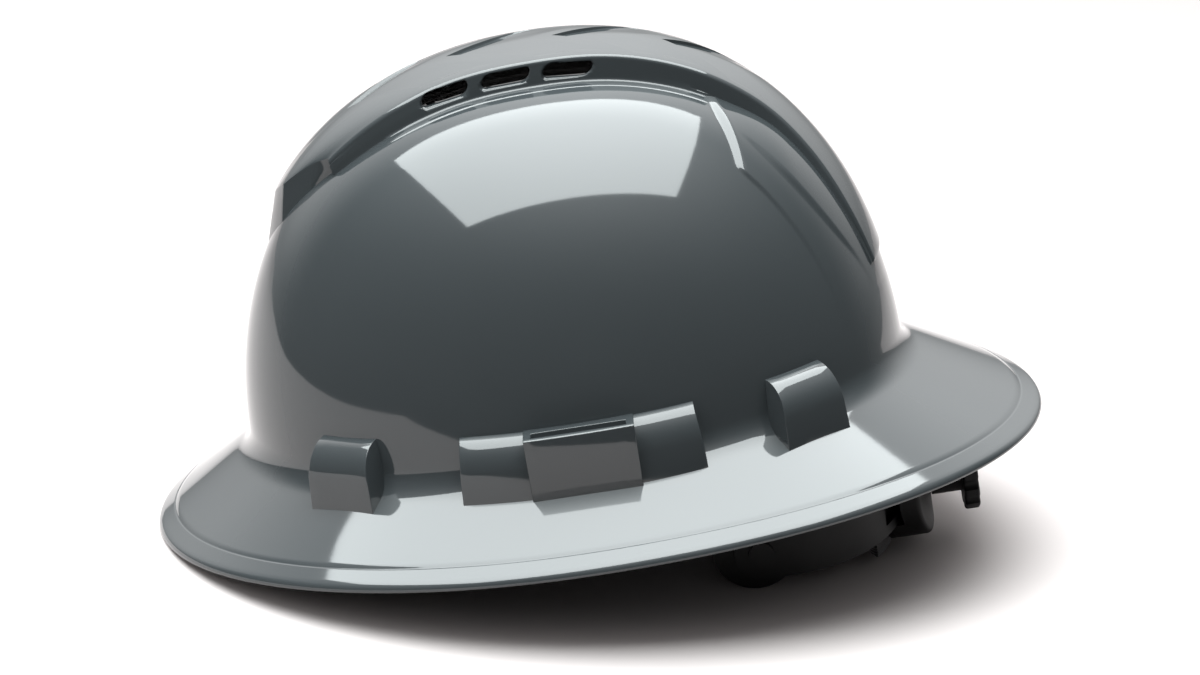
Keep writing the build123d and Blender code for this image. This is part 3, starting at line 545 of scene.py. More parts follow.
def foot_round(form, radius, low_rise, count):
    """Rows between dome and brim, and the reach at which the brim begins: radius / tan(half angle)."""
    tangent = radius / np.tan(FOOT_HALF_ANGLE)
    reach = tangent * np.cos(SLOPE)
    start = dome(turns, low_rise, form)
    above = dome(turns, low_rise * 1.2, form)
    end = brim(turns, reach, form)
    out = brim(turns, reach + 1, form)
    rows = curve_between(start[None], unit(start - above)[None], end[None], unit(out - end)[None],
                         radius * FOOT_HANDLE, count)
    return rows, reach


outer_dome = dome(turns[None], rises[:, None], OUTER)
outer_dome = outer_dome + dome_normal(outer_dome) * flank_rise(outer_dome)[..., None]
outer_round, outer_start = foot_round(OUTER, OUTER_FOOT, rises[-1], FOOT_ROWS)
inner_dome = dome(turns[None], rises[:, None], INNER)
inner_round, inner_start = foot_round(INNER, INNER_FOOT, rises[-1], FOOT_ROWS)
print("dome grid", outer_dome.shape[:2], "brim begins", round(float(outer_start), 1), "mm out")

# %% [markdown]
# A shallow line is scored into the brim, a little way in from its edge. It is too fine to cut with a
# boolean on such a long curve, so four rows of the grid follow the line and the first three are sunk.
# The lip is rounded by two short cubics that meet at the outermost row.

# %% Brim rows, scored line and lip
SCORE_INSET, SCORE_WIDTH, SCORE_DEPTH = 7.0, 0.45, 0.16
SCORE_ROWS = ((SCORE_WIDTH, 1), (SCORE_WIDTH / 2, 1), (0.0, 1), (-0.25, 0))
SCORE_BEFORE, SCORE_AFTER = 0.2, 0.4
LIP_INSET, LIP_HANDLE, LIP_ROWS = 1.3, 0.8, 3


def brim_between(start, end, count, form):
    """Brim rows whose reach runs evenly from start to end."""
    share = np.linspace(0, 1, count)[:, None]
    return brim(turns[None], start + (end - start)[None] * share, form)


flat = egg_reach(turns, SCORE_INSET + SCORE_WIDTH + SCORE_BEFORE, OUTER)
brim_rows = [brim_between(outer_start, flat, 18, OUTER)]
for inset, sunk in SCORE_ROWS:
    row = brim(turns, egg_reach(turns, SCORE_INSET + inset, OUTER), OUTER)
    row[:, 2] -= SCORE_DEPTH * sunk
    brim_rows.append(row[None])
lip_top = egg_reach(turns, LIP_INSET, OUTER)
brim_rows.append(brim_between(egg_reach(turns, SCORE_INSET - SCORE_AFTER, OUTER), lip_top, 5, OUTER))
top_row = brim(turns, lip_top, OUTER)
edge_row = brim(turns, egg_reach(turns, 0.0, OUTER), OUTER)
edge_row[:, 2] -= WALL / np.cos(SLOPE) / 2
under_reach = egg_reach(turns, LIP_INSET, INNER)
under_row = brim(turns, under_reach, INNER)
outward = unit(brim(turns, lip_top + 1, OUTER) - top_row)
brim_rows.append(curve_between(top_row[None], outward[None], edge_row[None], -UP, LIP_HANDLE, LIP_ROWS))
brim_rows.append(edge_row[None])
brim_rows.append(curve_between(edge_row[None], -UP, under_row[None], -outward[None], LIP_HANDLE, LIP_ROWS))
brim_rows.append(brim_between(under_reach, inner_start, 9, INNER))
print("brim edge", round(float(edge_row[:, 2].min()), 1), "to", round(float(edge_row[:, 2].max()), 1), "mm")

# %% [markdown]
# Under the crest the sheet has a long opening. A boolean would leave slivers along its edges, so whole
# quads are left out of the grid instead, and the points round the gap slide sideways onto a clean line.

# %% Opening under the crest
HOLE_INSET, HOLE_MIDDLE = 1.4, 0.55
HOLE_ENDS = np.radians((64.0, 157.0))


def under_crest(points):
    """True where a dome point lies inside the crest's footprint, less the thickness of its wall."""
    side_turn = side_turn_of(points)
    return ((np.abs(points[..., 0]) < crest_half(side_turn) - HOLE_INSET)
            & (side_turn > HOLE_ENDS[0]) & (side_turn < HOLE_ENDS[1]))


def pull_to_line(points, picked, form):
    """Move the picked points sideways onto the hole's long edges, and back onto the dome."""
    x, side_turn = points[..., 0], side_turn_of(points)
    line = crest_half(side_turn) - HOLE_INSET
    x = np.where(picked & (np.abs(x) > HOLE_MIDDLE * line), np.sign(x) * line, x)
    moved = side_point(x, side_turn, skin_reach(x, side_turn, form))
    return np.where(picked[..., None], moved, points)


def touched(mask):
    """True for the points at the four corners of the masked quads."""
    touch = np.zeros((mask.shape[0] + 1, mask.shape[1]), bool)
    for corner in (mask, np.roll(mask, 1, axis=1)):
        touch[:-1] |= corner
        touch[1:] |= corner
    return touch


inside = under_crest(outer_dome)
columns = len(turns)
gone = inside[:-1] & inside[1:]
gone = gone & np.roll(gone, -1, axis=1)
kept = ~gone
rim = touched(gone) & touched(kept)
rim[0] = False
outer_dome = pull_to_line(outer_dome, rim, OUTER)
inner_dome = pull_to_line(inner_dome, rim, INNER)
print("faces left out under the crest", int(gone.sum()))

# %% [markdown]
# The rows now follow each other from the crown down the outside, round the lip and up the inside, so
# one call numbers all quads. Point n of the outer dome has a twin under it in the inner one, and quads
# between the twins wall the opening, which leaves no open edge there.

# %% Join the sheet
sheet_rows = np.concatenate([outer_dome, outer_round] + brim_rows + [inner_round[::-1], inner_dome[::-1]])
total_rows = len(sheet_rows)
faces = quads(total_rows, columns, wrap=True)
keep = np.ones(faces.shape[:2], bool)
keep[:len(rises) - 1] = kept
keep[-(len(rises) - 1):] = kept[::-1]
sheet_faces = faces[keep].tolist()


def twin(number):
    """Number of the inner point that lies under an outer one."""
    row, column = number // columns, number % columns
    return (total_rows - 1 - row) * columns + column


def hole_walls():
    """Quads that join the outer and inner edges of the opening."""
    numbers = np.arange(len(rises) * columns).reshape(len(rises), columns)
    level = gone[1:] != gone[:-1]
    a, b = numbers[1:-1], np.roll(numbers, -1, axis=1)[1:-1]
    across = np.stack((a[level], b[level], twin(b[level]), twin(a[level])), -1)
    side = gone != np.roll(gone, 1, axis=1)
    a, b = numbers[:-1], numbers[1:]
    down_hill = np.stack((a[side], b[side], twin(b[side]), twin(a[side])), -1)
    return across.tolist() + down_hill.tolist()


sheet_faces += hole_walls()
shell = make_piece("hat_moulding", sheet_rows, sheet_faces, "hat", sharp=50.0)
shell.data.materials.append(gloss)
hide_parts("shell")
print("moulding", len(shell.data.polygons), "faces")

# %% [markdown]
# Four shallow arrow steps point forward on the crest. Cutting them with booleans would leave long thin
# faces that show in the gloss. Here the rows of the grid bend forward in the middle, so each step runs
# along rows, and a close pair of rows at each tip makes its edge.

# %% Crest rows and arrow steps
ARROW_TIPS = np.radians((61.0, 78.5, 95.3, 112.3))
ARROW_RUN, ARROW_DEPTH, SIDE_STEP_DEPTH = np.radians(12.5), 1.15, 0.28
ARROW_SIDE, ARROW_FADE, ARROW_END, ARROW_END_RUN = 0.3, 0.55, 0.85, 0.02
SWEEP, PROW_TURN = np.radians(0.57), np.radians(60.0)
TIP_GAP, ROW_GAP, REAR_ROWS = np.radians(0.12), np.radians(0.18), np.radians((161.7, 161.88))


def crest_rows():
    """Angles of the regular rows: even, with close pairs at the arrow tips and at the rear end."""
    even = np.linspace(PROW_TURN, CREST_TURNS[-1], 200)
    tips = np.concatenate((ARROW_TIPS - TIP_GAP, ARROW_TIPS + TIP_GAP))
    near = np.abs(even[:, None] - tips).min(axis=1)
    even = even[(near > ROW_GAP) | (even == even[0]) | (even == even[-1])]
    return np.unique(np.concatenate((even, tips, REAR_ROWS)))


def arrow_sink(row, share):
    """Depth of the arrow steps: deepest at the tip, shallow at the side and ended there by a small step."""
    sink = np.zeros(np.broadcast(row, share).shape)
    for tip in ARROW_TIPS:
        behind = (row - tip) / ARROW_RUN
        sink += np.where((behind > 0) & (behind < 1), 1 - behind, 0)
    middle = 1 - ease((share - ARROW_SIDE) / ARROW_FADE)
    across = SIDE_STEP_DEPTH + (ARROW_DEPTH - SIDE_STEP_DEPTH) * middle
    return sink * across * (1 - ease((share - ARROW_END) / ARROW_END_RUN))


rows = crest_rows()
print("crest rows", len(rows))

# %% [markdown]
# The crest's cross section is drawn once, as a closed outline of a thin hollow band, and carried along
# the crown. A bent block would not keep to the dome, so every point is a lift over the dome's skin. The
# outline runs over the top, round the edge, down the wall, out over a fine ledge and back inside.

# %% Crest cross section
EDGE, EDGE_IN, FOOT, LEDGE, LEDGE_HIGH, LEDGE_LOW = 1.4, 0.8, 1.1, 3.2, 0.08, 0.4
TOP_SHARES = np.unique(np.concatenate((np.linspace(0, 1, 15), (0.470, 0.482, 0.494, 0.79, 0.853, 0.871))))
LEDGE_OUTLINE = ((0.5, 0), (LEDGE, 0), (LEDGE + 0.12, -0.05), (LEDGE + 0.18, -0.2), (LEDGE + 0.2, -1.1))
REAR_DROP, REAR_ROUND, HOLLOW_RUN = 1.2, np.radians(0.45), np.radians(2.5)


def crest_outline(row):
    """Right half of the section: across position, lift over the dome, on top or not, share of the ledge."""
    half, rise = crest_half(row), crest_rise(row)
    end = CREST_TURNS[-1] - row
    rise = rise - REAR_DROP * (1 - np.sqrt(1 - (1 - np.clip(end / REAR_ROUND, 0, 1)) ** 2))
    edge = np.minimum(EDGE, 0.45 * rise)
    flat = half - EDGE_IN - edge
    wall = skin_reach(half, row) - skin_reach(half, row, INNER) + 0.2
    hollow = np.maximum(rise - WALL, -wall)
    inward = np.minimum(row - PROW_TURN, end - HOLLOW_RUN)
    hollow = -wall + (hollow + wall) * ease(inward / HOLLOW_RUN)
    parts = [(f * flat, rise, 1.0, 0.0) for f in TOP_SHARES]
    for a in np.radians(np.linspace(90, 0, 7)[1:]):
        parts.append((flat + edge * np.cos(a), rise - edge + edge * np.sin(a), 1.0, 0.0))
    for f in np.linspace(0, 1, 6)[1:-1]:
        parts.append((half - EDGE_IN * (1 - f), (rise - edge) * (1 - f) + FOOT * f, 0.0, f))
    for a in np.radians(np.linspace(180, 270, 6)):
        parts.append((half + FOOT + FOOT * np.cos(a), FOOT + FOOT * np.sin(a), 0.0, 1.0))
    parts += [(half + FOOT + dx, dz, 0.0, 1.0) for dx, dz in LEDGE_OUTLINE]
    parts += [(half - 0.3, -1.2 + 0 * row, 0.0, 0.0), (half - 0.3, -wall, 0.0, 0.0),
              (half - WALL, -wall, 0.0, 0.0)]
    for f in np.linspace(0, 1, 5)[1:-1]:
        parts.append((half - WALL - EDGE_IN * f, -wall * (1 - f) + hollow * f, 0.0, 0.0))
    parts += [(f * (half - WALL - 1.0), hollow, 0.0, 0.0) for f in TOP_SHARES[::-1]]
    return [np.stack(np.broadcast_arrays(*[np.asarray(v, float) for v in p]), -1) for p in parts]


right = np.stack(crest_outline(rows), 1)
left = right[:, -2:0:-1] * np.array((-1.0, 1.0, 1.0, 1.0))
section = np.concatenate((right, left), 1)
print("points round the section", section.shape[1])

# %% [markdown]
# In front the crest folds into a prow: a narrow face between two slanting side facets. Its outline in
# the side view is kept as two lines of angles over the distance from the middle, one for the top edge
# and one for the foot. The rows in front of the first regular one slide onto it.

# %% Prow
PROW_ROWS = 34
PROW_ACROSS = np.array((0.0, 12.0, 20.0, 24.9, 34.0))
PROW_TOP = np.radians((43.3, 46.3, 52.7, 55.6, 52.0))
PROW_FOOT = np.radians((34.8, 40.6, 48.7, 55.1, 51.8))
PROW_LIFT = np.array((6.3, 6.9, 5.8, 5.0, 4.8))


def prow(turn, across, lift, on_top):
    """Rows between prow and band: with u from 0 to 1, angle = prow's + (first row's - prow's) x u."""
    u = np.concatenate(((0.0, 0.02), np.linspace(0.05, 1, PROW_ROWS)[:-1]))[:, None]
    edge_end = PROW_TURN + SWEEP * crest_half(PROW_TURN)
    edge_turn = PROW_TOP[3] + (edge_end - PROW_TOP[3]) * u
    first = np.abs(across) * crest_half(PROW_TOP[3]) / crest_half(edge_end)
    rise = crest_rise(turn)
    weight = np.where(on_top > 0, 1.0, np.clip(lift / rise, 0, 1))
    start = (np.interp(first, PROW_ACROSS, PROW_FOOT) * (1 - weight)
             + np.interp(first, PROW_ACROSS, PROW_TOP) * weight)
    lower = (np.interp(first, PROW_ACROSS, PROW_LIFT) - rise) * weight
    return (start + (turn - start) * u, across * crest_half(edge_turn) / crest_half(edge_end),
            lift + lower * (1 - u**0.75))


print("prow begins", round(float(np.degrees(PROW_TOP[0])), 1), "degrees up")

# %% [markdown]
# The section is now laid along the crown. An array with a curve modifier would space it evenly and
# could not narrow it, so each point gets its own angle and lift. Towards the rear the rows bend less and
# less. On the ledge's span the foot line is raised by a hair, which draws the fine line beside the
# crest; elsewhere it is sunk out of sight.

# %% Lay the band on the dome
BEND_TURN, BEND_RUN, WALL_TOP = np.radians(160), np.radians(42), 1.5
LEDGE_SPAN, LEDGE_RUN = np.radians((65.0, 122.5)), 0.004

across, lift, on_top, ledge_share = np.moveaxis(section, -1, 0)
bend = ease((BEND_TURN - rows) / BEND_RUN)
side_turn = rows[:, None] + SWEEP * np.abs(across) * bend[:, None]
across = across * (crest_half(side_turn) / crest_half(rows)[:, None])
lift = lift + (crest_rise(side_turn) - crest_rise(rows)[:, None]) * (lift > WALL_TOP)
share = np.abs(across) / (crest_half(side_turn) - EDGE_IN - EDGE)
lift = lift - on_top * arrow_sink(rows[:, None], share)
prow_turn, prow_across, prow_lift = prow(side_turn[:1], across[:1], lift[:1], on_top[:1])
side_turn = np.concatenate((prow_turn, side_turn))
across = np.concatenate((prow_across, across))
lift = np.concatenate((prow_lift, lift))
high = ease((side_turn - LEDGE_SPAN[0]) / LEDGE_RUN) * ease((LEDGE_SPAN[1] - side_turn) / LEDGE_RUN)
lift = lift + ledge_share[:1] * ((LEDGE_HIGH + LEDGE_LOW) * high - LEDGE_LOW)
crest_points = side_point(across, side_turn, skin_reach(across, side_turn) + lift)
print("band grid", crest_points.shape[:2])

# %% [markdown]
# The band is open in front. A fan of triangles would pinch the gloss, so four rows of quads run from
# the top edge down to the foot line, with two of them close under the edge to keep it crisp. They end
# on the inner skin's columns, and two larger faces close the sides.

# %% Front face of the prow
FACE_ROWS, FOOT_SUNK = 4, 0.3

half_loop, top_count, loop = right.shape[1], len(TOP_SHARES), crest_points.shape[1]
top_right = np.arange(top_count)
top_columns = np.concatenate(((2 * half_loop - 2 - top_right[1:])[::-1], top_right))
low_columns = np.concatenate((half_loop - 1 + top_right[1:][::-1], half_loop - 1 - top_right))
top_edge, face_across = crest_points[0, top_columns], across[0, top_columns]
foot_turn = np.interp(np.abs(face_across), PROW_ACROSS, PROW_FOOT)
foot_line = side_point(face_across, foot_turn, skin_reach(face_across, foot_turn) - FOOT_SUNK)
drop = np.linalg.norm(foot_line - top_edge, axis=-1)[:, None]
face_shares = [np.minimum(0.4 / drop, 0.2), np.minimum(0.9 / drop, 0.35), 0.5 + 0 * drop, 1 + 0 * drop]
face_points = np.concatenate([top_edge + (foot_line - top_edge) * s for s in face_shares])
width, total = len(top_columns), crest_points.shape[0] * loop
face_numbers = total + np.arange(FACE_ROWS * width).reshape(FACE_ROWS, width)
face_grid = np.concatenate((top_columns[None], face_numbers, low_columns[None]))
crest_faces = quads(crest_points.shape[0], loop, wrap=True).reshape(-1, 4).tolist()
crest_faces += face_grid.reshape(-1)[quads(FACE_ROWS + 2, width)].reshape(-1, 4).tolist()
wall_columns = np.arange(top_count - 1, half_loop - top_count + 1)
crest_faces.append(wall_columns.tolist() + face_grid[-2:0:-1, -1].tolist())
crest_faces.append(((2 * half_loop - 2) - wall_columns).tolist() + face_grid[-2:0:-1, 0].tolist())
crest_faces.append(list(range(total - loop, total)))
all_points = np.concatenate((crest_points.reshape(-1, 3), face_points))
crest = make_piece("crest_band", all_points, crest_faces, "hat", sharp=24.0)
crest.data.materials.append(gloss)
print("crest", len(crest.data.polygons), "faces")

# %% [markdown]
# Each vent is a rounded slanting slot. A prism of that outline is cut through the wall with a boolean,
# which gives the slot real inner faces. The prism widens where it leaves the wall, so the slot gets the
# flared lip that catches the light along its lower edge.

# %% Vent prisms
VENT_LENGTH, VENT_HEIGHT, VENT_SLANT, VENT_ROUND = 17.5, 5.0, 2.4, 2.3
VENT_PLACES = (-28.5, -5.7, 17.1)
VENT_UP, VENT_FLARE = 5.0, 0.6
PRISM_START, PRISM_END, PRISM_WIDER = 16.0, 40.0, 1.4


def rounded_outline(length, height, radius, steps=6):
    """A rounded rectangle: four quarter circles round centres that lie a radius in from its corners."""
    points = []
    for start, cx, cy in ((0, 1, 1), (90, -1, 1), (180, -1, -1), (270, 1, -1)):
        a = np.radians(np.linspace(start, start + 90, steps))
        centre = np.array((cx * (length / 2 - radius), cy * (height / 2 - radius)))
        points.append(centre + radius * np.stack((np.cos(a), np.sin(a)), -1))
    return np.concatenate(points)


def wall_point(y):
    """Place in y and z of a vent's middle: the dome's skin at the crest's half width, and a bit up."""
    turn = np.arctan2(HEIGHT, -y)
    return np.array((y, float(skin_reach(CROWN_HALF, turn)) * np.sin(turn) + VENT_UP))


def vent_prism(place_y, side):
    """The outline sheared, turned to follow the crest and carried across its wall, wider outside."""
    front, rear = wall_point(place_y - VENT_LENGTH / 2), wall_point(place_y + VENT_LENGTH / 2)
    tilt = np.arctan2(rear[1] - front[1], VENT_LENGTH)
    turn = np.array(((np.cos(tilt), -np.sin(tilt)), (np.sin(tilt), np.cos(tilt))))
    wall_at = float(crest_half(np.arctan2(HEIGHT, -place_y))) - 0.5
    stations = ((PRISM_START, 0.0), (wall_at - 0.9, 0.0), (wall_at - 0.35, 0.15),
                (wall_at + 0.1, VENT_FLARE), (PRISM_END, PRISM_WIDER))
    rings = []
    for x, wider in stations:
        flat = rounded_outline(VENT_LENGTH + 2 * wider, VENT_HEIGHT + 2 * wider, VENT_ROUND + wider)
        flat[:, 0] += VENT_SLANT * flat[:, 1] / VENT_HEIGHT
        flat = flat @ turn.T + wall_point(place_y)
        rings.append(np.column_stack((np.full(len(flat), side * x), flat)))
    return np.concatenate(rings), tube_faces(len(rings), len(rings[0]), reverse_last=True)


prisms = [vent_prism(y, side) for y in VENT_PLACES for side in (1, -1)]
print("vent prisms", len(prisms))

# %% [markdown]
# A boolean can join or cut. Here all prisms are gathered in one tool, so the band is cut once and not
# six times, and the modifier is made real straight away because later steps need the new edges.

# %% Cut the vents


def cut(piece, prisms):
    """Cut closed prisms out of a piece with one exact boolean."""
    points, faces = [], []
    for prism_points, prism_faces in prisms:
        shift = sum(len(p) for p in points)
        points.append(prism_points)
        faces += [[shift + n for n in face] for face in prism_faces]
    tool = make_piece("cutter", np.concatenate(points), faces, None)
    boolean = piece.modifiers.new("cut", "BOOLEAN")
    boolean.operation = "DIFFERENCE"
    boolean.solver = "EXACT"
    boolean.object = tool
    finished(piece)
    bpy.data.objects.remove(tool)


cut(crest, prisms)
print("crest with vents", len(crest.data.polygons), "faces")

# %% [markdown]
# The blocks round the foot of the dome are prisms with a quarter round top. Four hold the suspension
# keys. The long rail on each side carries a prouder sleeve with a slot for accessories. Plain boxes
# would sink into the brim or float over it, so each foot line is laid just under the brim's skin, and
# the rails follow the dome's foot. First come the measures of that foot.

# %% Places round the foot
STATION_STEP, SHOULDER, BLOCK_TOP, FOOT_DEPTH = 3.2, 4.0, 18.0, 1.1
WALL_POINTS, FEET = 5, slice(4, 7)


def rim_frame(degrees_round):
    """Origin on the dome's foot oval, the outward direction there, and the direction along the oval."""
    a = np.radians(degrees_round)
    origin = np.array((HALF_WIDTH * np.cos(a), HALF_LENGTH * np.sin(a), 0.0))
    out = unit(np.array((np.cos(a) / HALF_WIDTH, np.sin(a) / HALF_LENGTH, 0.0)))
    return origin, out, np.array((-out[1], out[0], 0.0))


def rim_gap(degrees_round, y):
    """How far the dome's foot lies behind the tangent line at a distance along it."""
    origin, out, along = rim_frame(degrees_round)
    a = np.radians(degrees_round) + np.linspace(-0.7, 0.7, 2401)
    foot = np.stack((HALF_WIDTH * np.cos(a), HALF_LENGTH * np.sin(a), 0 * a), -1) - origin
    return np.interp(y, foot @ along, -(foot @ out))


def brim_reach(points):
    """Reach of the brim's skin under plan points, by halving: the oval of that reach passes through them."""
    x, y = points[..., 0], points[..., 1]
    return halved(np.full(x.shape, 60.0), 30, lambda reach: (
        (x / (HALF_WIDTH + reach))**2 + (y / (HALF_LENGTH + reach))**2 > 1))


print("the foot falls behind its tangent by", round(float(rim_gap(0.0, 40.0)), 1), "mm at 40 mm along")

# %% [markdown]
# One function makes every block, because they differ only in length, depth and top. It draws the
# block's outline once, repeats it at stations along the rim, and presses its foot points onto the brim.

# %% Block function


def block_profile(out, foot_out, square):
    """Closed outline in out and height: in the wall, along the brim, up the face, over the shoulder."""
    inner = [(-2.0, 17.4), (-1.6, 9.0), (-0.7, 4.0), (0.7, 0.8), (3.6, 0.0),
             (foot_out - 0.4, 0.0), (foot_out, 0.0)]
    if square:
        over = [(out, BLOCK_TOP - 0.2), (out - 1.2, BLOCK_TOP + 0.3), (-2.0, BLOCK_TOP + 0.3)]
        return np.array(inner + over)
    a = np.radians(np.linspace(0, 90, 13))
    over = np.stack((-2 + (out + 2) * np.cos(a), SHOULDER + (BLOCK_TOP - SHOULDER) * np.sin(a)), -1)
    return np.concatenate((np.array(inner), over))


def block(name, degrees_round, low, high, out, foot_out, flare, follow, square=False):
    """A prism along the rim: origin + out x outward + station x along + height, ends flared at the foot."""
    origin, outward, along = rim_frame(degrees_round)
    profile = block_profile(out, foot_out, square)
    stations = np.linspace(low, high, max(2, int((high - low) / STATION_STEP)))
    share = (stations - low) / (high - low) * 2 - 1
    spread = flare * np.clip(BLOCK_TOP - profile[:, 1], 0, None) / BLOCK_TOP
    y = stations[:, None] + share[:, None] * spread[None]
    gap = rim_gap(degrees_round, y)
    back = np.where(np.arange(len(profile))[None] < WALL_POINTS, gap, gap * follow)
    points = (origin + (profile[None, :, :1] - back[..., None]) * outward
              + y[..., None] * along + profile[None, :, 1:] * UP)
    feet = points[:, FEET]
    feet[..., 2] = -brim_reach(feet) * np.tan(SLOPE) - FOOT_DEPTH
    piece = make_piece(name, points, tube_faces(len(stations), len(profile)), "hat")
    piece.data.materials.append(gloss)
    return piece


def round_edges(piece, width, segments=4):
    """Edges rounded to a width in millimetres, then smooth shading between them."""
    bevel = piece.modifiers.new("edges", "BEVEL")
    bevel.width = width / 1000
    bevel.segments = segments
    bevel.limit_method = "ANGLE"
    bevel.angle_limit = np.radians(38)
    bevel.use_clamp_overlap = True
    finished(piece)
    shade(piece.data, 40)


print("profile points", [len(block_profile(9.5, 10.2, square)) for square in (False, True)])

# %% [markdown]
# The sockets stand where the straps' keys go in, two in front and two behind. The sleeve's slot is cut
# right through its top, so that an accessory's blade could really be pushed in.

# %% Sockets, rails and sleeves
SOCKET_ANGLE, SOCKET_HALF = 40.5, 12
RAIL_SPAN, SLEEVE_SPAN = (-40.0, 44.0), (-17.0, 22.5)
SLOT_NEAR, SLOT_FAR, SLOT_HALF, SLOT_FLOOR, SLOT_TOP = 3.0, 8.0, 17.0, 1.0, 40.0
BOX_FACES = [[0, 1, 2, 3], [7, 6, 5, 4], [0, 4, 5, 1], [1, 5, 6, 2], [2, 6, 7, 3], [3, 7, 4, 0]]


def on_side(span, mirror):
    """A span along the rim; on the right side the rim runs the other way, so it is turned about."""
    return span if mirror > 0 else (-span[1], -span[0])


for label, place in (("front_left", -SOCKET_ANGLE), ("rear_left", SOCKET_ANGLE),
                     ("front_right", 180 + SOCKET_ANGLE), ("rear_right", 180 - SOCKET_ANGLE)):
    socket = block("socket_" + label, place, -SOCKET_HALF, SOCKET_HALF, 9.5, 10.2, 2.0, 0.0)
    round_edges(socket, 1.5, 5)
for label, place, mirror in (("left", 0.0, 1), ("right", 180.0, -1)):
    rail = block("rail_" + label, place, *on_side(RAIL_SPAN, mirror), 7.5, 8.4, 2.0, 1.0)
    round_edges(rail, 1.1)
    low, high = on_side(SLEEVE_SPAN, mirror)
    sleeve = block("sleeve_" + label, place, low, high, 10.4, 8.7, 0.0, 0.6, square=True)
    origin, out, along = rim_frame(place)
    corners = [origin + out * o + along * ((low + high) / 2 + s * SLOT_HALF) + z * UP
               for z in (SLOT_FLOOR, SLOT_TOP)
               for o, s in ((SLOT_NEAR, -1), (SLOT_FAR, -1), (SLOT_FAR, 1), (SLOT_NEAR, 1))]
    cut(sleeve, [(np.array(corners), BOX_FACES)])
    round_edges(sleeve, 0.5)

# %% [markdown]
# Webbing is woven in a herringbone, and the pads are covered in a finer knit. Real threads would take
# millions of faces, and an image would have to be fitted to each strap. A pattern on two attributes,
# the distance along and across the piece, follows every bend, so it is made as one node group.

# %% Webbing and pad cloth
CLOTH_REACH, WARP_SHARE = 0.0003, 0.4


def attribute(nodes, name):
    """A point attribute read in a shader."""
    node = nodes.new("ShaderNodeAttribute")
    node.attribute_name = name
    return node


def weave_pattern():
    """Rib = sin(2 pi (along + |across|) / pitch); height = rib + 0.4 sin(4 pi |across| / pitch); mask = (rib
    + 1) / 2, lowest in the grooves, for painted shade there.
    """
    group, given, made = new_group("weave", (("Along", 0.0), ("Across", 0.0), ("Pitch", 1.5)), (
        ("Height", "NodeSocketFloat"), ("Mask", "NodeSocketFloat")))
    nodes, links = group.nodes, group.links

    def times(first, second):
        """The product of two values."""
        return math_node(nodes, links, "MULTIPLY", first, second)

    turns_per_mm = math_node(nodes, links, "DIVIDE", 2 * np.pi, given.outputs["Pitch"])
    half = math_node(nodes, links, "ABSOLUTE", given.outputs["Across"])
    slant = math_node(nodes, links, "ADD", given.outputs["Along"], half)
    rib = math_node(nodes, links, "SINE", times(slant, turns_per_mm))
    warp = math_node(nodes, links, "SINE", times(half, times(turns_per_mm, 2.0)))
    links.new(math_node(nodes, links, "ADD", rib, times(warp, WARP_SHARE)), made.inputs["Height"])
    # The mask is the rib made to run from 0 to 1: lowest in the grooves, where it darkens the cloth's colour
    # as painted shade.
    links.new(times(math_node(nodes, links, "ADD", rib, 1.0), 0.5), made.inputs["Mask"])
    return group


weave_group = weave_pattern()


def woven(name, colour, pitch, strength):
    """Cloth with the weave as bump, with painted shade that darkens the colour to 0.6 of itself in the
    weave's grooves, and with a soft sheen.
    """
    material, nodes, links, shader = plain_material(
        name, colour, 0.85, Sheen_Weight=0.25, Sheen_Roughness=0.5)
    weave = group_node(nodes, weave_group, Pitch=pitch)
    links.new(attribute(nodes, "along").outputs["Fac"], weave.inputs["Along"])
    links.new(attribute(nodes, "across").outputs["Fac"], weave.inputs["Across"])
    bump_into(nodes, links, weave.outputs["Height"], shader, strength, CLOTH_REACH)
    # Painted shade: the colour drops to 0.6 of itself in the weave's grooves, where the bump is lowest.
    tint_over(nodes, links, weave.outputs["Mask"], scaled(colour, 0.6), colour, shader)
    return material


webbing_black = woven("black_webbing", (0.02, 0.02, 0.022), 1.5, 0.8)
pad_cloth = woven("black_pad_cloth", (0.016, 0.016, 0.018), 1.1, 0.5)
print("cloths", webbing_black.name, pad_cloth.name)

# %% [markdown]
# A crown strap is webbing 20 mm wide. Its tail hangs inside the bar of a key; from there it loops under
# the bar, comes up outside and arches over the head to the key across. A flat strip with a thickness
# modifier would have hard edges, so a section with rounded edges is swept along that path. Each point
# keeps its distance along and across the strap as attributes, from which the weave is drawn.

# %% Path of a crown strap
STRAP_WIDTH, STRAP_THICK = 20.0, 1.4
PLATE_OUT, STRAP_START = -22.2, 11.6
LOOP_HALF, LOOP_LOW, LOOP_TOP, TAIL_TOP = 2.25, 7.85, 13.5, 16.4
ARCH_SPAN, ARCH_POINTS, TWIST_SHARE = (11, 169), 111, 7


def set_attribute(piece, name, values):
    """A float attribute on the points of a piece."""
    layer = piece.data.attributes.new(name, "FLOAT", "POINT")
    layer.data.foreach_set("value", np.ascontiguousarray(values, np.float32).reshape(-1))


def strap_end(place):
    """Path and across direction at one key: tail, loop under the bar, up the outside, into the arch."""
    origin, out, along = rim_frame(place)
    tail = np.column_stack((np.full(6, -LOOP_HALF), np.linspace(TAIL_TOP, LOOP_LOW, 6)))
    a = np.radians(np.linspace(180, 360, 13)[1:-1])
    under = np.column_stack((LOOP_HALF * np.cos(a), LOOP_LOW + LOOP_HALF * np.sin(a)))
    rising = np.column_stack((np.full(5, LOOP_HALF), np.linspace(LOOP_LOW, LOOP_TOP, 5)))
    flat = np.concatenate((tail, under, rising))
    return origin + (PLATE_OUT + flat[:, :1]) * out + flat[:, 1:] * UP, along


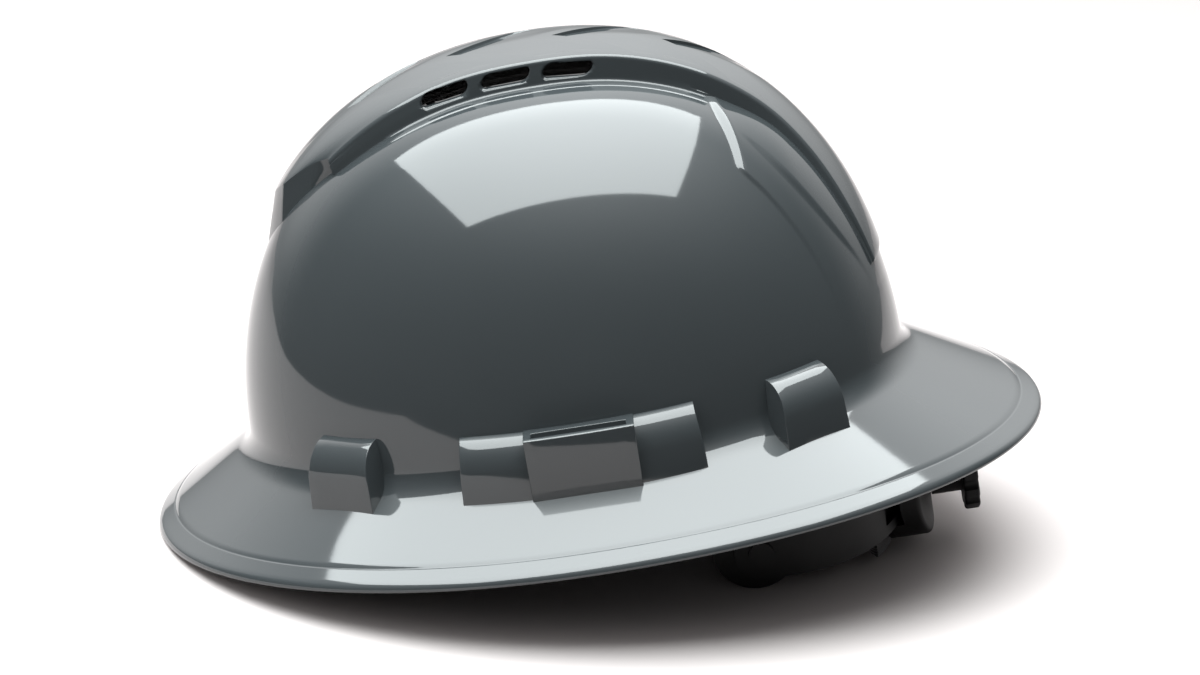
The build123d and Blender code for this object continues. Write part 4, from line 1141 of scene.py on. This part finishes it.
def strap_path(front, rear, crown):
    """Centre line and across directions from key to key; the arch is half an oval above its start."""
    (front_points, front_side), (rear_points, rear_side) = strap_end(front), strap_end(rear)
    origin, out, _ = rim_frame(front)
    start = (origin + out * PLATE_OUT) * (1 - UP)
    radius, heading = np.linalg.norm(start), unit(start)
    a = np.radians(np.linspace(*ARCH_SPAN, ARCH_POINTS))[:, None]
    arch = heading * radius * np.cos(a) + UP * (STRAP_START + (crown - STRAP_START) * np.sin(a))
    side = np.cross(UP, heading)
    points = np.concatenate((front_points, arch, rear_points[::-1]))
    turn_in = ease(np.linspace(0, 1, ARCH_POINTS) * TWIST_SHARE)[:, None]
    start_side = front_side * np.sign(front_side @ side)
    end_side = rear_side * np.sign(rear_side @ side)
    middle = start_side * (1 - turn_in) + side * turn_in
    middle = middle * turn_in[::-1] + end_side * (1 - turn_in[::-1])
    across = np.concatenate((np.tile(start_side, (len(front_points), 1)), middle,
                             np.tile(end_side, (len(rear_points), 1))))
    return points, across


print("points at a key", len(strap_end(SOCKET_ANGLE)[0]))

# %% [markdown]
# The section of webbing is nearly a rectangle, but its edges are soft. A superellipse gives that with
# one formula: the same circle, with its cosine and sine raised to small powers. The upper strap is
# arched a little higher, so that the two cross without touching.

# %% Crown straps


def crown_strap(name, front, rear, crown):
    """A superellipse section, cos and sin of its angle to small powers, swept along the strap's path."""
    points, across = strap_path(front, rear, crown)
    way = unit(np.gradient(points, axis=0))
    across = unit(across - way * (across * way).sum(-1, keepdims=True))
    lift = np.cross(way, across)
    a = np.linspace(0, 2 * np.pi, 33)[:-1]
    wide = STRAP_WIDTH / 2 * np.sign(np.cos(a)) * np.abs(np.cos(a)) ** 0.35
    thick = STRAP_THICK / 2 * np.sign(np.sin(a)) * np.abs(np.sin(a)) ** 0.55
    body = points[:, None] + wide[None, :, None] * across[:, None] + thick[None, :, None] * lift[:, None]
    strap = make_piece(name + "_webbing", body, tube_faces(len(points), len(a)), "hat", sharp=60.0)
    strap.data.materials.append(webbing_black)
    run = np.concatenate(((0.0,), np.cumsum(np.linalg.norm(np.diff(points, axis=0), axis=1))))
    set_attribute(strap, "along", np.broadcast_to(run[:, None], body.shape[:2]))
    set_attribute(strap, "across", np.broadcast_to(wide[None], body.shape[:2]))
    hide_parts(name)
    return strap


straps = [crown_strap("crown_strap_lower", -SOCKET_ANGLE, 180 - SOCKET_ANGLE, 92.0),
          crown_strap("crown_strap_upper", 180 + SOCKET_ANGLE, SOCKET_ANGLE, 94.6)]
print("straps", [(s.name, len(s.data.polygons)) for s in straps])

# %% [markdown]
# The brow and nape pads are slim foam cushions in knitted cloth. A cloth simulation could inflate them,
# but its result is hard to keep in place. Each is a crowned form between two ovals instead, sewn down
# along upright channels and along a flat hem, so the foam swells between the seams.

# %% Pads
PAD_COLUMNS, PAD_ROWS = 220, 36
PAD_CROWN, PAD_LOW, PAD_SWELL, PAD_BACK = 7.0, 0.12, 0.88, 0.02
SEAM_WIDTH, SEAM_DEPTH, SEAM_RUN = 1.3, 0.62, 6.0
HEM_WIDTH, HEM_DEPTH = 0.7, 0.35


def pad(name, centre_y, inner_oval, outer_oval, ends, low, high, hem, channels, body):
    """A quilted pad: share of the thickness = low + swell x crown x valley at seams x line at the hem."""
    a = np.linspace(ends[0], ends[1], PAD_COLUMNS)
    along = a[:, None] * np.mean(outer_oval)
    z = low + (high - low) * np.linspace(0, 1, PAD_ROWS)
    length = abs(along[-1, 0] - along[0, 0])
    from_end = np.minimum(along - along.min(), along.max() - along)
    from_edge = np.minimum(z - low, high - z)[None]
    seam_at = along.min() + length * np.arange(1, channels) / channels
    to_seam = np.abs(along - seam_at[None]).min(axis=1, keepdims=True)
    rim = np.minimum(from_end, from_edge)
    crown = np.sqrt(np.clip(1 - (1 - np.clip(rim / PAD_CROWN, 0, 1))**2, 0, 1))
    valley = 1 - SEAM_DEPTH * np.exp(-(to_seam / SEAM_WIDTH)**2) * ease(from_edge / SEAM_RUN)
    hem_line = 1 - HEM_DEPTH * np.exp(-((rim - hem) / HEM_WIDTH)**2)
    swell = PAD_LOW + PAD_SWELL * crown * valley * hem_line
    thick = np.array(outer_oval) - np.array(inner_oval)

    def skin(share):
        """Points at a share of the thickness from the back of the pad."""
        half = np.array(outer_oval)[None, None] - share[..., None] * thick
        return np.stack((half[..., 0] * np.cos(a)[:, None], centre_y + half[..., 1] * np.sin(a)[:, None],
                         np.broadcast_to(z, share.shape)), -1)

    face, back = skin(swell), skin(np.full(swell.shape, PAD_BACK))
    grid = np.concatenate((face, back[:, ::-1]), axis=1)
    piece = make_piece(name + "_cushion", grid, tube_faces(*grid.shape[:2]), body, sharp=70.0)
    piece.data.materials.append(pad_cloth)
    set_attribute(piece, "along", np.broadcast_to(along, grid.shape[:2]))
    set_attribute(piece, "across", grid[..., 2])
    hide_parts(name)
    return piece


pads = [pad("brow_pad", 0.0, (66.8, 91.8), (71.8, 96.8), np.radians((-157.5, -22.5)),
            -38.0, -14.0, 2.4, 9, "headband"),
        pad("nape_pad", 72.0, (53.7, 32.9), (61.7, 40.9), np.radians((49.5, 130.5)),
            -72.0, -34.0, 2.6, 5, "ratchet")]
print("pads", [(p.name, len(p.data.polygons)) for p in pads])

# %% [markdown]
# The suspension under the shell keeps its CAD shapes: keys, headband, rivets and the ratchet. They
# could be remade too, but their plain moulded forms need only the right finish: dull black plastics
# and blackened screws.

# %% Dress the CAD nodes
finishes = {
    suspension_black: ("key_front_left", "key_front_right", "key_rear_left", "key_rear_right", "headband",
                       "rivet_left", "rivet_right", "nape_strap_left", "nape_strap_right"),
    ratchet_black: ("ratchet_housing", "ratchet_base_plate", "pinion", "click_spring", "ratchet_knob"),
    steel: ("housing_screws", "knob_screw"),
}
for material, names in finishes.items():
    for name in names:
        node = frame["nodes"][name]
        node.data.materials.clear()
        node.data.materials.append(material)
print("dressed", sum(len(names) for names in finishes.values()), "nodes")

# %% [markdown]
# The two nape straps slide into the ratchet when the band is made smaller. Left rigid, they would stay
# behind while the ratchet moves. Each visible strap is a copy of its node's shape, with the node's
# finish, placed where the node stands; the node itself is hidden.


def following_strap(name):
    """A copy of the strap's node, placed where the node stands, while the node is hidden."""
    node = frame["nodes"][name]
    mesh = node.data.copy()
    mesh.transform(node.matrix_world)
    piece = bpy.data.objects.new(name + "_sliding", mesh)
    bpy.context.scene.collection.objects.link(piece)
    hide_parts(name)
    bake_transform(piece)
    return piece


print("sliding", [following_strap("nape_strap_" + side).name for side in ("left", "right")])

# %% [markdown]
# The picture was taken from the wearer's left, a little above the brim, with a long lens and the camera
# rolled by about nine degrees against the hat. Such a camera could be aimed by eye, but the outline is
# then never quite right. Its angles, distance and lens were solved from the outline, in the hat's frame.

# %% Camera
AZIMUTH, ELEVATION, ROLL = np.radians(2.5), np.radians(18.01), np.radians(9.46)
DISTANCE, FOCAL_PIXELS, WIDTH_PIXELS, HEIGHT_PIXELS = 1405.76, 3697.0, 1200.0, 675.0
OPTICAL_CENTRE = (576.07, 385.38)
back = np.array((np.cos(AZIMUTH) * np.cos(ELEVATION), np.sin(AZIMUTH) * np.cos(ELEVATION), np.sin(ELEVATION)))
level = np.array((-np.sin(AZIMUTH), np.cos(AZIMUTH), 0.0))
above = np.cross(back, level)
picture_right = np.cos(ROLL) * level - np.sin(ROLL) * above
picture_up = np.sin(ROLL) * level + np.cos(ROLL) * above
camera_data = bpy.data.cameras.new("photo_camera")
camera_data.sensor_width = 36.0
camera_data.lens = 36.0 * FOCAL_PIXELS / WIDTH_PIXELS
camera_data.shift_x = (WIDTH_PIXELS / 2 - OPTICAL_CENTRE[0]) / WIDTH_PIXELS
camera_data.shift_y = (OPTICAL_CENTRE[1] - HEIGHT_PIXELS / 2) / WIDTH_PIXELS
camera_data.clip_end = 100


def placed(name, data, x_axis, y_axis, z_axis, centre):
    """A camera or lamp whose axes and centre, in table metres, are the columns of its matrix."""
    thing = bpy.data.objects.new(name, data)
    columns = np.column_stack((x_axis, y_axis, z_axis, centre))
    thing.matrix_world = Matrix(columns.tolist() + [[0, 0, 0, 1]])
    bpy.context.scene.collection.objects.link(thing)
    return thing


axes = [lean_turn(v) for v in (picture_right, picture_up, back)]
camera = placed("photo_camera", camera_data, *axes, to_table(back * DISTANCE))
bpy.context.scene.camera = camera
print("lens", round(camera_data.lens, 1), "mm at", [round(v, 3) for v in camera.location])

# %% [markdown]
# A gloss shell shows mostly what it mirrors, so the room matters as much as the lamps. The world could
# be a photograph of a studio, but three formulas are enough: a glow overhead, a bright wall behind the
# hat and a dark room on the camera's side. To the camera itself the background is plain white.

# %% World light
GLOW_POWER, GLOW_LIGHT, ROOM_LIGHT = 4.0, 2.6, 0.1
WALL_START, WALL_FULL, WALL_GROWTH, WALL_LIGHT = -0.2, -0.75, 3.5, 0.35


def studio_room():
    """With h the upward part of a direction: 2.6 h to the 4th + wall (3.5 h + 0.35) + 0.1."""
    world = bpy.data.worlds.new("studio")
    bpy.context.scene.world = world
    world.use_nodes = True
    nodes, links = world.node_tree.nodes, world.node_tree.links

    def calc(operation, first, second):
        """One Math node of the world."""
        return math_node(nodes, links, operation, first, second)

    where = nodes.new("ShaderNodeTexCoord")
    split = nodes.new("ShaderNodeSeparateXYZ")
    links.new(where.outputs["Generated"], split.inputs[0])
    high = calc("MAXIMUM", split.outputs["Z"], 0.0)
    glow = calc("MULTIPLY", calc("POWER", high, GLOW_POWER), GLOW_LIGHT)
    wall = nodes.new("ShaderNodeMapRange")
    wall.interpolation_type = "SMOOTHSTEP"
    for label, value in (("From Min", WALL_START), ("From Max", WALL_FULL), ("To Min", 0.0), ("To Max", 1.0)):
        wall.inputs[label].default_value = value
    links.new(split.outputs["X"], wall.inputs["Value"])
    brighter = calc("ADD", calc("MULTIPLY", high, WALL_GROWTH), WALL_LIGHT)
    behind = calc("MULTIPLY", brighter, wall.outputs[0])
    total = calc("ADD", calc("ADD", glow, behind), ROOM_LIGHT)
    path = nodes.new("ShaderNodeLightPath")
    background = nodes["Background"]
    links.new(calc("MAXIMUM", path.outputs["Is Camera Ray"], total), background.inputs["Strength"])
    background.inputs["Color"].default_value = (1, 1, 1, 1)
    return world


print("world", studio_room().name)

# %% [markdown]
# The table is a sheet of pale matt card that ends out of sight. One large soft box overhead makes the
# broad bright shape on the dome. A small lamp in front lifts the dark side; it is hidden from
# reflections, because a second bright shape on the gloss would look wrong.

# %% Floor and lamps
BOX_CENTRE, BOX_WIDTH, BOX_LENGTH, BOX_POWER = (0.111, -0.093, 1.25), 1.306, 1.688, 70.0
BOX_YAW, BOX_FACING, BOX_TINT = np.radians(6.8), (-0.074, -0.190, 1.0), (0.93, 0.995, 1.0)
FILL_PLACE, FILL_SIZE, FILL_POWER = (0.9, -1.2, 0.8), 0.9, 9.0
FLOOR_OUTLINE = np.array((
    (-1.6, -1.7, 0), (-0.84, -1.14, 0), (-0.39, -0.85, 0), (-0.1, -0.58, 0), (0.17, -0.4, 0),
    (0.3, -0.34, 0), (0.3, 0.4, 0), (-0.26, 0.67, 0), (-1.05, 1.17, 0), (-1.6, 1.5, 0)), float)


def soft_box():
    """A rectangular lamp whose back faces along a given direction, turned about it by its yaw."""
    data = bpy.data.lights.new("overhead", "AREA")
    data.shape = "RECTANGLE"
    data.size, data.size_y = BOX_WIDTH, BOX_LENGTH
    data.energy = BOX_POWER
    data.color = BOX_TINT
    facing = unit(np.array(BOX_FACING))
    side = np.array((np.cos(BOX_YAW), np.sin(BOX_YAW), 0.0))
    side = unit(side - facing * (side @ facing))
    return placed("overhead", data, side, np.cross(facing, side), facing, BOX_CENTRE)


def front_fill():
    """A square lamp turned towards the origin, unseen in reflections."""
    data = bpy.data.lights.new("front_fill", "AREA")
    data.size, data.energy = FILL_SIZE, FILL_POWER
    lamp = bpy.data.objects.new("front_fill", data)
    turn = Vector(FILL_PLACE).to_track_quat("Z", "Y").to_matrix().to_4x4()
    lamp.matrix_world = Matrix.Translation(FILL_PLACE) @ turn
    lamp.visible_glossy = False
    bpy.context.scene.collection.objects.link(lamp)
    return lamp


def floor_material():
    """Matt pale card with a fine grain."""
    material, nodes, links, shader = plain_material("white_card", (0.372, 0.342, 0.338), 0.95)
    grain = group_node(nodes, grain_group, Scale=300.0)
    bump_into(nodes, links, grain.outputs["Height"], shader, 0.03, BUMP_REACH)
    return material


floor = make_piece("table", FLOOR_OUTLINE, [list(range(len(FLOOR_OUTLINE)))], None, table=False)
floor.data.materials.append(floor_material())
bpy.context.scene.view_settings.view_transform = "Standard"
print("lit by", [lamp.name for lamp in (soft_box(), front_fill())])
